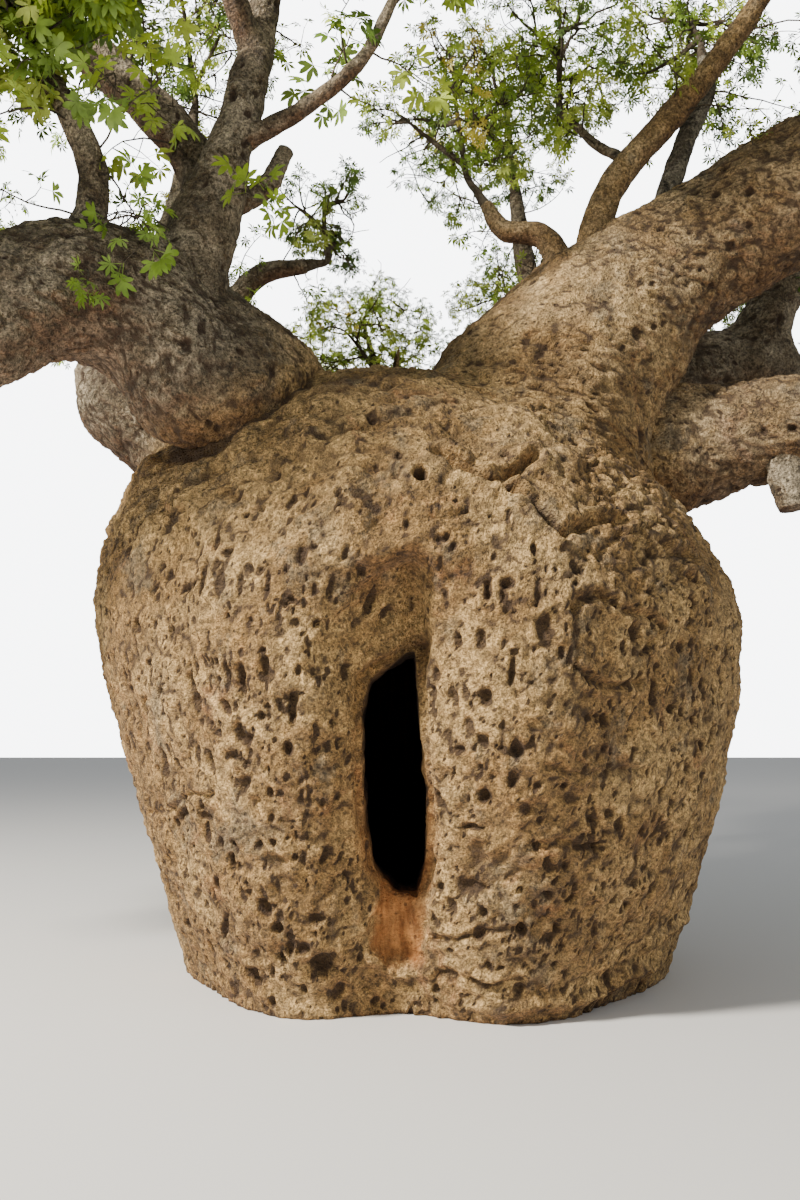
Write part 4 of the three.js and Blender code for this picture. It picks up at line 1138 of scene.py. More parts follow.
def limb_line(controls, spacing):
    """Points [x, y, z, radius] along a limb, `spacing` apart."""
    controls = np.asarray(controls, float)
    steps = CURVE_STEPS * (len(controls) - 1)
    path = centripetal_curve(controls[:, :3], steps)
    place = np.linspace(0, len(controls) - 1, steps + 1)
    radii = np.interp(place, np.arange(len(controls)), controls[:, 3])
    along = lengths_along(path)
    spots = np.linspace(0, along[-1], max(3, int(along[-1] / spacing)))
    line = [np.interp(spots, along, column) for column in (*path.T, radii)]
    return np.column_stack(line)


def tube(line, columns):
    """Points of a tube round a line of [x, y, z, radius] points, with the way out of each."""
    middle, radii = line[:, :3], line[:, 3]
    ways = way_along(middle)
    side, up = carried_frames(ways)
    angles = np.linspace(0, 2 * math.pi, columns, endpoint=False)
    cosines, sines = np.cos(angles)[None, :, None], np.sin(angles)[None, :, None]
    out = side[:, None] * cosines + up[:, None] * sines
    points = middle[:, None] + out * radii[:, None, None]
    points = np.vstack([points.reshape(-1, 3), middle[:1], middle[-1:]])
    out = np.vstack([out.reshape(-1, 3), -ways[:1], ways[-1:]])
    return points, out


def rooted(line, parent, spacing):
    """The line with a tapering root added, which runs on into its parent's heart."""
    foot, radius = line[0, :3], line[0, 3]
    heart = TRUNK_HEART if parent == "trunk" else foot
    back = line[0, :3] - line[3, :3]
    way = unit(unit(back) + 0.9 * unit(heart - foot + 1e-6))
    steps = np.arange(ROOT_LENGTH * radius, spacing / 2, -spacing)
    share = steps / (ROOT_LENGTH * radius)
    root = np.column_stack([foot + way * steps[:, None], radius * (1 - ROOT_TAPER * share**1.5)])
    return np.vstack([root, line])


# %% [markdown]
# ## Where a limb meets its parent
#
# A limb's root should flow out of its parent like wax. For each point of the tube near its root,
# the script looks for the spot on the way out from the limb's middle where the blend of the two
# skins lies, by halving, as it did for the trunk's skin. A blend of 0 gives the butt of a bough
# instead.

# %% The parent's skin
LINES_OF = {name: limb_line(controls, 0.05) for name, (_, controls) in LIMBS.items()}


def outside_parent(parent, p):
    """Roughly how far each point lies outside the parent that a limb grows from."""
    if parent == "trunk":
        return outside_trunk(p)
    line = LINES_OF[parent]
    away = np.full(len(p), 99.0)
    for spot in line:
        away = np.minimum(away, np.linalg.norm(p - spot[:3], axis=1) - spot[3])
    return away


# %% Blending a root into its parent
BLEND_HALVINGS = 13
BLEND_SINK = 0.035  # the blended skin sinks this far, so that it doesn't end in a step
BUTT_ENDS = (0.3, 0.95)  # from here to here along the bough the slump dies out
BUTT_SWELL = 0.07


def lengths_beyond(line, columns):
    """How far beyond the trunk's skin each point of a tube lies, measured along its line."""
    along = lengths_along(line[:, :3])
    leaves_at = along[np.argmax(outside_trunk(line[:, :3]) > 0)]
    return np.concatenate([np.repeat(along - leaves_at, columns), [-9, 9]])


def blended_tube(line, columns, parent, blend):
    """A tube whose root runs into its parent, with each point's way out, radius and distance."""
    points, out = tube(line, columns)
    radii = np.concatenate([np.repeat(line[:, 3], columns), line[:1, 3], line[-1:, 3]])
    middle = points - out * radii[:, None]
    root_distance = outside_parent(parent, points)
    if blend == 0:
        near_end = ease_out(lengths_beyond(line, columns), *BUTT_ENDS)
        slumped = SLUMP * np.maximum(out @ SLUMP_WAY, 0) ** 2 * near_end
        swell = BUTT_SWELL * np.exp(-(((root_distance - 0.2) / 0.17) ** 2))
        round_end = 1 + slumped + swell - 0.25 * ease_out(root_distance, -0.3, 0.1)
        return middle + out * (radii * round_end)[:, None], out, radii, root_distance
    near = np.flatnonzero(root_distance < 1.3 * blend * radii)
    near = near[near < len(points) - 2]
    r = radii[near]
    low, high = 0.3 * r, 1.75 * r
    for _ in range(BLEND_HALVINGS):
        length = (low + high) / 2
        away = outside_parent(parent, middle[near] + out[near] * length[:, None])
        own = length - r
        sink = BLEND_SINK * ease_in(own, 0.12 * r, 0.65 * blend * r)
        within = soft_min(away, own, blend * r) + sink < 0
        low, high = np.where(within, length, low), np.where(within, high, length)
    points[near] = middle[near] + out[near] * low[:, None]
    return points, out, radii, outside_parent(parent, points)


# %% [markdown]
# ## Bark on the limbs
#
# The relief of a limb has three parts: lumps whose size goes with the limb's own thickness, folds
# that ring it like a sleeve near its root, and pits. At its root it takes the trunk's own relief,
# and changes to the limb's over the next half metre, so that no seam shows.

# %% Relief of the limbs
FULL_BARK_RADIUS = 0.4  # limbs thinner than this have shallower bark
LIMB_FOLD_LIFT = 0.02


def limb_relief(p, radius, root_distance):
    """How far the bark stands out of a limb, and its painted shade and dirt (0 to 1)."""
    thick = np.minimum(radius / FULL_BARK_RADIUS, 1)
    base, creased = bark_base(p, lump_size(p))
    own = radius * 0.12 * soft_noise(p, 1.7 * radius.mean() + 0.05)
    own += radius * 0.06 * soft_noise(p + 5, 0.7 * radius.mean() + 0.03)
    folds = wrinkles(p, 0.075, 13)
    away = ease_in(root_distance, 0.0, 0.45)
    own += LIMB_FOLD_LIFT * folds * thick * (0.3 + 0.7 * ease_out(root_distance, 0.3, 1.2))
    own += 0.85 * thick * bark_base(p, 0.0)[0]
    dark = FOLD_DARK * ease_in(-folds, 0.3, 1) * thick * away
    dark = np.maximum(dark, creased * thick)
    shoulder = wrinkles(p, FOLD_SPACING, FOLD_SEED)
    shoulder = shoulder * np.maximum(in_fold_band(p), FOLDS_ELSEWHERE * (1 - away))
    dark = np.maximum(dark, FOLD_DARK * ease_in(-shoulder, 0.3, 1))
    return base * thick * (1 - away) + own * away + FOLD_LIFT * shoulder, dark


# %% Making the limbs
# How grey the bark of a limb is, from 0 (as tan as the trunk) to 1, and of those not listed.
GREYNESS = {
    "bough_right_front": 0.35,
    "bough_right_low": 0.45,
    "limb_pale": 0.25,
    "limb_crooked": 0.4,
    "limb_mottled": 1.0,
}
USUAL_GREYNESS = 0.85
# How widely a limb's root blends into its parent, in shares of its radius. The two at 0 butt
# against the trunk with rounded ends.
ROOT_BLENDS = {"bough_left_front": 0, "bough_right_front": 1.0, "bough_right_low": 0}
USUAL_BLEND = 0.45
LIMB_PITS = 75  # pits on each square metre of a limb's length times its radius
PITTED_RADIUS = 0.15  # thinner limbs have no pits
MOST_COLUMNS = 170
limb_dice = np.random.default_rng(77)
limb_pieces = {}

for name, (parent, controls) in LIMBS.items():
    near = name.startswith(NEAR_LIMBS)
    spacing = NEAR_SPACING if near else FAR_SPACING
    widest = max(row[3] for row in controls)
    line = limb_line(controls, spacing)
    columns = int(np.clip(2 * math.pi * widest / spacing, 14, MOST_COLUMNS))
    line = rooted(line, parent, spacing)
    blend = ROOT_BLENDS.get(name, USUAL_BLEND)
    points, out, radius, root_distance = blended_tube(line, columns, parent, blend)
    lift, dark = limb_relief(points, radius, root_distance)
    count = int(LIMB_PITS * widest * len(line) * spacing)
    if widest > PITTED_RADIUS and count:
        chosen = limb_dice.choice(len(points) - 2, count, replace=False)
        width = limb_dice.uniform(0.2, 1, count) ** 2.5 * 0.034 + 0.01
        tall = width * limb_dice.uniform(0.8, 1.5, count)
        sizes = np.column_stack([width, tall, 0.95 * width, 0 * width])
        pit_depth, pit_dark = press_pits(points, points[chosen], out[chosen], sizes)
        lift -= pit_depth
        dark = np.maximum(dark, pit_dark)
    lift[-2:] = 0
    piece = make_mesh(name + "_bark", points + out * lift[:, None], tube_faces(len(line), columns))
    # The dark field carries painted shade, with some dirt, in the limb's folds, creases and pits.
    set_field(piece, "dark", dark)
    # Bark that faces down gets painted shade.
    set_field(piece, "shade_below", faces_down(piece))
    beyond_trunk = ease_in(outside_trunk(points), -0.05, 0.45)
    set_field(piece, "grey", GREYNESS.get(name, USUAL_GREYNESS) * beyond_trunk)
    limb_pieces[name] = piece
limb_faces = sum(len(piece.data.polygons) for piece in limb_pieces.values())
print("Limbs:", len(limb_pieces), "with", limb_faces, "triangles")

# %% [markdown]
# ## The growing rule
#
# The crown can't be drawn leaf by leaf, so it is grown. The solids were grown by a rule with seeded
# random numbers: a stem enters each mass from the tip of its limb, twigs leave the stem for spots
# spread evenly over a ball, and side twigs leave each twig. The same rule and the same seeds give
# the same twigs here, and then each one is carried on into finer twigs and rosettes of leaves.

# %% Masses of foliage
# Each mass is [limb, middle, reach].
MASSES = {
    "foliage_left_end": ("bough_left_droop", [-5.15, -2.05, 5.75], 1.3),
    "foliage_left_top": ("limb_left_riser", [-0.95, -0.75, 8.55], 1.25),
    "foliage_left_high": ("limb_left_back", [-3.75, -1.45, 7.95], 1.3),
    "foliage_left_near": ("limb_left_outer", [-2.45, -2.25, 6.3], 0.95),
    "foliage_arch": ("limb_left_arch", [0.1, -1.85, 7.35], 1.0),
    "foliage_left_rear": ("limb_left_rear", [-4.85, 1.6, 7.0], 1.35),
    "foliage_left_crown": ("limb_left_high", [-2.3, 1.3, 8.6], 1.25),
    "foliage_middle": ("limb_middle", [-0.82, 0.75, 6.2], 0.62),
    "foliage_right_end": ("bough_right_outer", [5.2, -1.2, 7.5], 1.3),
    "foliage_right_fore": ("bough_right_fore", [4.15, -3.1, 7.35], 1.2),
    "foliage_fore_right": ("limb_fore_right", [2.1, -2.2, 8.1], 1.15),
    "foliage_right_low": ("bough_right_low", [4.85, -1.35, 5.25], 1.05),
    "foliage_right_high": ("limb_right_riser", [4.85, 1.6, 7.85], 1.3),
    "foliage_right_rear": ("limb_right_rear", [5.1, 2.55, 5.85], 1.1),
    "foliage_right_top": ("limb_pale", [3.15, -0.75, 8.75], 1.25),
    "foliage_right_crown": ("limb_mottled", [2.65, 1.1, 8.15], 1.1),
    "foliage_crooked": ("limb_crooked", [0.32, 0.1, 6.75], 1.0),
    "foliage_inner": ("limb_inner", [1.25, 0.2, 7.45], 0.9),
    "foliage_rear": ("bough_rear", [-0.55, 3.55, 6.05], 1.2),
    "foliage_rear_mid": ("limb_rear_mid", [1.4, 3.9, 6.6], 1.2),
    "foliage_rear_left": ("bough_rear_left", [-2.95, 3.6, 6.85], 1.3),
    "foliage_rear_right": ("bough_rear_right", [3.35, 3.85, 6.7], 1.25),
    "foliage_rear_high": ("limb_rear_high", [1.0, 2.3, 8.3], 1.2),
    "foliage_fore_left": ("limb_fore_left", [-3.9, -3.4, 6.3], 1.15),
    "foliage_fore_high": ("limb_fore_high", [-1.55, -2.75, 8.15], 1.05),
}
mass_names = list(MASSES)
middles = np.array([MASSES[name][1] for name in mass_names])
print("Masses listed:", len(MASSES))

# %% The rule's numbers
# They are the same as in the solids' rule. Lengths are in metres, and "of the reach" means a share
# of the mass's reach.
GOLDEN_ANGLE = math.pi * (3 - math.sqrt(5))
TWIGS_PER_METRE = 4.2  # for each metre of the reach
STEM_RADIUS = 0.05
STEM_BEND = 0.35  # the stem bends this share of the way to the middle
TWIG_RADIUS = 0.024
TWIG_RISE = (-0.5, 1.0)  # from level, for the first twig and the last one, in radians
TWIG_ELBOW = 0.55
TWIG_BOW = 0.12
SIDE_TWIGS = 2
SIDE_RADIUS = 0.017
SIDE_LENGTH = (0.12, 0.24)  # of the reach
SIDE_SPREAD = 1.1
LEAF_LENGTH = 0.54  # of the reach
LEAF_WIDTH = 0.54  # of the leaf's length
LEAF_ROLL = 1.0
LIMB_CLEARANCE = 0.02
SPACE_CLEARANCE = 0.01
ROOM_STEP = 0.05
WORD = 0xFFFFFFFF


# %% Seeded random numbers
def seeded(seed):
    """Random numbers from 0 to 1, the same ones that the solids' rule draws for a seed."""
    state = seed & WORD

    def draw():
        nonlocal state
        state = (state + 0x6D2B79F5) & WORD
        mixed = ((state ^ (state >> 15)) * (state | 1)) & WORD
        mixed ^= (mixed + (((mixed ^ (mixed >> 7)) * (mixed | 61)) & WORD)) & WORD
        return (mixed ^ (mixed >> 14)) / (WORD + 1)

    return draw


# %% Ways and spots
def turned(way, axis, angle):
    """A way turned round an axis."""
    sideways = np.cross(axis, way) * math.sin(angle)
    return way * math.cos(angle) + sideways + axis * (axis @ way) * (1 - math.cos(angle))


def across(way, angle):
    """A unit way square to `way`, turned round it."""
    side = np.array([0, 0, 1.0]) if abs(way[2]) < 0.9 else np.array([1.0, 0, 0])
    return turned(unit(np.cross(side, way)), way, angle)


def spots_along(path):
    """Spots every ROOM_STEP along a line of [x, y, z, radius] points."""
    path = np.asarray(path, float)
    spots = []
    for a, b in zip(path[:-1], path[1:]):
        count = max(1, math.ceil(np.linalg.norm(b[:3] - a[:3]) / ROOM_STEP))
        spots.append(a + (b - a) * np.linspace(0, 1, count + 1)[:, None])
    return np.vstack(spots)


# %% The stems
def stem_of(limb, middle, reach):
    """The stem of a mass: out of its limb's tip, through a bend, to a head over the middle."""
    controls = np.array(LIMBS[limb][1], float)
    line = centripetal_curve(controls[:, :3], 400)
    way = unit(line[-1] - line[-2])
    foot = controls[-1, :3]
    bend = foot + way * np.linalg.norm(middle - foot) * STEM_BEND
    head = middle + [0, 0, reach * (1 - LEAF_LENGTH * 1.3)]
    return way, controls[-1, 3], foot, bend, head


stems = {}
for name, (limb, middle, reach) in MASSES.items():
    stems[name] = stem_of(limb, np.array(middle), reach)

# Twigs keep clear of these round spots: [name of the limb or mass, its spots].
blocked = []
for name, (_, controls) in LIMBS.items():
    blocked += [(name, spots_along(controls))]
for name, (way, tip_radius, foot, bend, head) in stems.items():
    radius = min(STEM_RADIUS, tip_radius * 0.8)
    path = [[*foot, radius], [*bend, radius * 0.8], [*head, TWIG_RADIUS]]
    blocked += [(name, spots_along(path))]


# %% Where a twig fits
def in_space(index, reach, spots):
    """True if every round spot keeps to the mass's ball and to its own side of the others."""
    p, room = spots[:, :3], spots[:, 3]
    if (np.linalg.norm(p - middles[index], axis=1) > reach - room).any():
        return False
    ways = np.delete(middles, index, axis=0) - middles[index]
    gaps = np.linalg.norm(ways, axis=1)
    beyond = (p - middles[index]) @ (ways / gaps[:, None]).T
    return bool((beyond < gaps / 2 - SPACE_CLEARANCE - room[:, None]).all())


def fits(index, reach, obstacles, path):
    """True if a twig keeps to its mass's space and misses the limbs and the other stems."""
    spots = spots_along(path)
    if not in_space(index, reach, spots):
        return False
    away = np.linalg.norm(spots[:, None, :3] - obstacles[None, :, :3], axis=2)
    return bool((away > obstacles[:, 3] + spots[:, 3][:, None] + LIMB_CLEARANCE).all())


# %% [markdown]
# ## Twigs and leaves as tables
#
# A twig is kept as a bent line with a radius at each point, and a leaf as a place, three ways and
# a size. Nothing is built while the tree grows. At the end all twigs of one kind become one mesh,
# and so do all leaves of one colour, because a few large meshes are far lighter than thousands of
# small ones.

# %% The tables
COLOUR_NAMES = ["fresh", "grass", "green", "lime", "deep", "bright", "soft", "yellow"]
COLOUR_CHANCES = [0.17, 0.16, 0.16, 0.13, 0.13, 0.12, 0.11, 0.02]
LEAF_COLOURS = len(COLOUR_NAMES)
twig_lines = []  # arrays of [x, y, z, radius]
leaves = {colour: [] for colour in range(LEAF_COLOURS)}
# A leaf's row is its root, the ways of its stalk, ahead and up, and these two lengths.
LEAFLET_LENGTH, STALK_LENGTH = 12, 13


# %% A wandering twig
def bent_line(start, way, length, radii, points, dice, wander, lift=0.0):
    """A wandering twig: it sets out along `way` and swerves a little at each step."""
    spots = [start]
    step = length / (points - 1)
    for _ in range(points - 1):
        way = unit(way + wander * dice.normal(size=3) + [0, 0, lift])
        spots.append(spots[-1] + way * step)
    line = np.column_stack([spots, np.linspace(*radii, points)])
    twig_lines.append(line)
    return line, way


# %% A rosette of leaves
STALK_LEAN = (0.5, 1.4)  # from the twig's way, in radians
STALK_SHARE = (0.5, 0.9)  # of the leaflets' length
LEAF_HANG = (0.1, 0.8)
LEAF_TILT = 0.5
ROSETTE_STEP = 0.012


def add_rosette(tip, way, count, sizes, colour, dice):
    """A rosette of stalked leaves round one spot of a twig. The leaves hang a little."""
    first = dice.uniform(0, 2 * math.pi)
    for k in range(count):
        lean = dice.uniform(*STALK_LEAN)
        side = across(way, first + k * GOLDEN_ANGLE)
        stalk = unit(way * math.cos(lean) + side * math.sin(lean) + [0, 0, -0.1])
        size = dice.uniform(*sizes)
        stalk_length = size * dice.uniform(*STALK_SHARE)
        ahead = unit(stalk + [0, 0, -dice.uniform(*LEAF_HANG)])
        up = np.array([0, 0, 1.0]) + LEAF_TILT * dice.normal(size=3) + 0.3 * way
        row = [*(tip - way * ROSETTE_STEP * k), *stalk, *ahead, *up, size, stalk_length]
        leaves[colour].append(row)


# %% Growing a spray
SPRAY_LINE = 0.7  # how far the spray's own twig goes, of the spray's length
SPRAY_WANDER = 0.17
SPRAY_TWIGLETS = 6
BARE_TWIGLETS = 0.08  # the share of twiglets without leaves
TWIGLET_SPREAD = (0.6, 1.25)
TWIGLET_LENGTH = (0.22, 0.48)
TWIGLET_WANDER = 0.3
TWIGLET_LIFT = (-0.16, 0.12)


def grow_spray(start, way, length, radius, colour, sizes, dice):
    """Fine twigs that stand where one large leaf of the solid stands, with their rosettes."""
    line, end_way = bent_line(
        start, way, length * SPRAY_LINE, (radius, 0.005), 7, dice, SPRAY_WANDER
    )
    add_rosette(line[-1, :3], end_way, dice.integers(4, 6), sizes, colour, dice)
    turn_now = dice.uniform(0, 2 * math.pi)
    for k in range(SPRAY_TWIGLETS):
        share = 0.1 + 0.85 * (k + dice.uniform(0.2, 0.8)) / SPRAY_TWIGLETS
        spot = share * (len(line) - 1)
        low = int(spot)
        root = line[low] + (line[low + 1] - line[low]) * (spot - low)
        along = unit(line[low + 1, :3] - line[low, :3])
        turn_now += GOLDEN_ANGLE + dice.normal() * 0.3
        spread = dice.uniform(*TWIGLET_SPREAD)
        side_way = unit(along * math.cos(spread) + across(along, turn_now) * math.sin(spread))
        twiglet_length = length * dice.uniform(*TWIGLET_LENGTH) * (1.15 - 0.5 * share)
        radii = (min(root[3] * 0.6, 0.006), 0.003)
        lift = dice.uniform(*TWIGLET_LIFT)
        twiglet, tip_way = bent_line(
            root[:3], side_way, twiglet_length, radii, 3, dice, TWIGLET_WANDER, lift
        )
        if dice.random() < BARE_TWIGLETS:
            continue
        add_rosette(twiglet[-1, :3], tip_way, dice.integers(3, 6), sizes, colour, dice)
        add_rosette(twiglet[1, :3], tip_way, dice.integers(1, 3), sizes, colour, dice)
    return line


# %% A smooth twig
def smooth_line(controls, points):
    """A smooth line of [x, y, z, radius] points through a few of them."""
    controls = np.asarray(controls, float)
    path = centripetal_curve(controls[:, :3], points - 1)
    place = np.linspace(0, len(controls) - 1, points)
    return np.column_stack([path, np.interp(place, np.arange(len(controls)), controls[:, 3])])


# %% [markdown]
# ## Growing a mass
#
# The rule's random numbers place the twigs, so none may be drawn more or fewer than in the solids'
# rule. The sprays draw theirs from a second row of numbers. Then the gaps are filled: each further
# spray aims at the emptiest of a few random spots in the ball, and leaves the nearest twig for it.
# Last come bare twigs that wander off into the air.

# %% Leaf sizes and densities
# The leaflets' lengths in metres: they look largest on the branches nearest the camera.
LEAFLETS = (0.062, 0.09)
LARGE_LEAFLETS = (0.088, 0.13)
SMALL_LEAFLETS = (0.048, 0.07)
LARGE_LEAVED = ("foliage_left_near", "foliage_fore", "foliage_right_fore", "foliage_arch")
SMALL_LEAVED = ("foliage_crooked", "foliage_inner", "foliage_middle")
# The haze of small bright leaves behind the saddle has its own, lighter colours: painted light, for
# the light that shines through them from behind.
HAZE = ("foliage_rear", "foliage_rear_mid")
HAZE_CHANCES = [0.26, 0.1, 0.04, 0.28, 0.0, 0.26, 0.04, 0.02]
# How many sprays fill the gaps of a mass, times its reach squared. Those not listed take the plain
# number. The ones over the left bough and round the saddle are denser.
PLAIN_FILL = 22
FILL_SPRAYS = {
    "foliage_left_high": 44,
    "foliage_left_near": 44,
    "foliage_fore_left": 44,
    "foliage_left_top": 34,
    "foliage_crooked": 32,
    "foliage_inner": 32,
    "foliage_right_top": 32,
    "foliage_rear": 64,
    "foliage_rear_mid": 64,
}
FILL_TRIALS = 7
FILL_WITHIN = (0.3, 0.95)  # from here to here of the reach lie the spots that are tried
FILL_ROOM = 0.3  # what a spray needs beyond its spot
BARE_TWIGS = 26  # for each metre of the reach


def leaflets_of(name):
    if name.startswith(LARGE_LEAVED):
        return LARGE_LEAFLETS
    return SMALL_LEAFLETS if name in SMALL_LEAVED + HAZE else LEAFLETS


def pick_colour(name, dice):
    return int(dice.choice(LEAF_COLOURS, p=HAZE_CHANCES if name in HAZE else COLOUR_CHANCES))


def room_ahead(root, way, middle, reach):
    """How far one can go from `root` along `way` before leaving a mass's ball."""
    back = (root - middle) @ way
    inside = back**2 - (root - middle) @ (root - middle) + reach**2
    return -back + math.sqrt(max(inside, 0))


# %% Filling the gaps
def fill_gaps(name, stem_line, grown, obstacles, dice):
    """More sprays in a mass. Gives back every point that a bare twig can leave from."""
    _, middle, reach = MASSES[name]
    middle = np.array(middle)
    head = stems[name][-1]
    anchors = np.vstack([stem_line] + grown)
    centres = np.array([line[-1, :3] for line in grown] + [head])
    for _ in range(round(FILL_SPRAYS.get(name, PLAIN_FILL) * reach**2)):
        trials = dice.normal(size=(FILL_TRIALS, 3))
        lengths = dice.uniform(*FILL_WITHIN, FILL_TRIALS)
        trials *= (lengths / np.linalg.norm(trials, axis=1))[:, None]
        trials = middle + trials * (reach - FILL_ROOM)
        emptiness = np.linalg.norm(trials[:, None] - centres[None], axis=2).min(axis=1)
        aim = trials[emptiness.argmax()]
        gaps = np.linalg.norm(anchors[:, :3] - aim, axis=1)
        root = anchors[gaps.argmin(), :3]
        way = unit(aim - root + 0.25 * dice.normal(size=3))
        clear = np.linalg.norm(obstacles[:, :3] - aim, axis=1) > obstacles[:, 3] + 0.05
        if not clear.all():
            continue
        lead = max(gaps.min() - FILL_ROOM, 0.02)
        branch, end_way = bent_line(root, way, lead, (0.013, 0.009), 6, dice, 0.2)
        tip = branch[-1, :3]
        length = min(reach * LEAF_LENGTH, room_ahead(tip, end_way, middle, reach * 0.92))
        colour = pick_colour(name, dice)
        main = grow_spray(tip, end_way, length, 0.008, colour, leaflets_of(name), dice)
        anchors = np.vstack([anchors, branch, main])
        centres = np.vstack([centres, aim])
    return anchors


def add_bare_twigs(name, anchors, dice):
    """Thin twigs without leaves, which stay inside the mass's ball."""
    _, middle, reach = MASSES[name]
    middle = np.array(middle)
    for root in anchors[dice.integers(0, len(anchors), round(BARE_TWIGS * reach))]:
        way = unit(dice.normal(size=3) + [0, 0, -0.3])
        length = min(0.8 * room_ahead(root[:3], way, middle, reach), dice.uniform(0.3, 0.8))
        thick = max(min(root[3], 0.011), 0.007)
        twig, _ = bent_line(root[:3], way, length, (thick, 0.004), 9, dice, 0.3, -0.03)
        if np.linalg.norm(twig[:, :3] - middle, axis=1).max() > reach:
            twig_lines.pop()


# %% The drawn stem
# Radii of a twig at its root, elbow and tip, and of a side twig at its root, middle and tip.
DRAWN_TWIG = (0.03, 0.021, 0.013)
DRAWN_SIDE = (0.014, 0.012, 0.01)
STEM_TIP = 0.014


def drawn_stem(name):
    """The stem of a mass, as thick as its limb's tip at the foot and thin at the head."""
    way, tip_radius, foot, bend, head = stems[name]
    thick = tip_radius * 0.97
    stem = [
        [*(foot - way * 0.08), thick], [*foot, thick * 0.98],
        [*((foot + bend) / 2), max(0.7 * thick, 0.035)], [*bend, max(0.48 * thick, 0.03)],
        [*((bend + head) / 2), max(0.3 * thick, 0.022)], [*head, STEM_TIP],
    ]
    return smooth_line(stem, 26)


# %% Growing a mass by the rule
def grow_mass(index, name):
    """The solids' rule for one mass, with each leaf of the solid carried on into a spray."""
    _, middle, reach = MASSES[name]
    sizes = leaflets_of(name)
    middle = np.array(middle)
    *_, bend, head = stems[name]
    random = seeded(1000 + 17 * index)
    dice = np.random.default_rng(500 + index)

    def between(low, high):
        return low + (high - low) * random()

    obstacles = np.vstack([spots for owner, spots in blocked if owner != name])
    leaf = reach * LEAF_LENGTH
    stem_line = drawn_stem(name)
    twig_lines.append(stem_line)
    grow_spray(head, np.array([0, 0, 1.0]), leaf, STEM_TIP, pick_colour(name, dice), sizes, dice)
    sprays = 1
    grown = []

    def add_twig(path, twig_way, line):
        nonlocal sprays
        between(-LEAF_ROLL, LEAF_ROLL)
        root = path[-1][:3]
        blade = [
            [*(root + twig_way * leaf / 2), leaf * LEAF_WIDTH / 2], [*(root + twig_way * leaf), 0],
        ]
        if not fits(index, reach, obstacles, [*path, *blade]):
            return False
        twig_lines.append(line)
        colour = pick_colour(name, dice)
        grow_spray(line[-1, :3], twig_way, leaf, line[-1, 3], colour, sizes, dice)
        sprays += 1
        grown.append(line)
        return True

    twigs = round(TWIGS_PER_METRE * reach)
    for k in range(twigs):
        start = bend + (head - bend) * (k + 0.5) / twigs
        angle = k * GOLDEN_ANGLE + index + between(0, 0.7)
        rise = TWIG_RISE[0] + (TWIG_RISE[1] - TWIG_RISE[0]) * (k + 0.5) / twigs
        flat = math.cos(rise)
        out = np.array([math.cos(angle) * flat, math.sin(angle) * flat, math.sin(rise)])
        end = middle + out * (reach - leaf * between(1.02, 1.22))
        bow = across(out, between(0, 2 * math.pi)) * TWIG_BOW * np.linalg.norm(end - start)
        elbow = start + (end - start) * TWIG_ELBOW + bow
        path = [
            [*start, TWIG_RADIUS * 0.45], [*elbow, TWIG_RADIUS * 0.8], [*end, TWIG_RADIUS * 0.6],
        ]
        thick, middling, thin = DRAWN_TWIG
        drawn = smooth_line([[*start, thick], [*elbow, middling], [*end, thin]], 10)
        if not add_twig(path, out, drawn):
            continue
        lean = between(0, 2 * math.pi)
        for side in range(SIDE_TWIGS):
            root = elbow + ((end if side else start) - elbow) * 0.25
            side_way = unit(out + across(out, lean + 2 * math.pi * side / SIDE_TWIGS) * SIDE_SPREAD)
            tip = root + side_way * reach * between(*SIDE_LENGTH)
            side_path = [[*root, SIDE_RADIUS * 0.45], [*tip, SIDE_RADIUS * 0.7]]
            thick, middling, thin = DRAWN_SIDE
            half_way = (root + tip) / 2
            drawn = smooth_line([[*root, thick], [*half_way, middling], [*tip, thin]], 5)
            add_twig(side_path, side_way, drawn)

    anchors = fill_gaps(name, stem_line, grown, obstacles, dice)
    add_bare_twigs(name, anchors, dice)
    return sprays


sprays = sum(grow_mass(index, name) for index, name in enumerate(mass_names))
leaf_count = sum(len(rows) for rows in leaves.values())
print("Sprays by the rule:", sprays, "twigs:", len(twig_lines), "leaves:", leaf_count)

# %% [markdown]
# ## Sprigs on the limbs
#
# Young shoots break straight out of old limbs too. In the photo some hang in front of the left
# bough and one stands on the right one. Each sprig is a thin bare twig that leaves its limb's
# skin, wanders, and carries a few rosettes near its end. The named ones are placed as in the
# photo, and others are scattered over every limb, so that the far side is as lively as the near
# one.

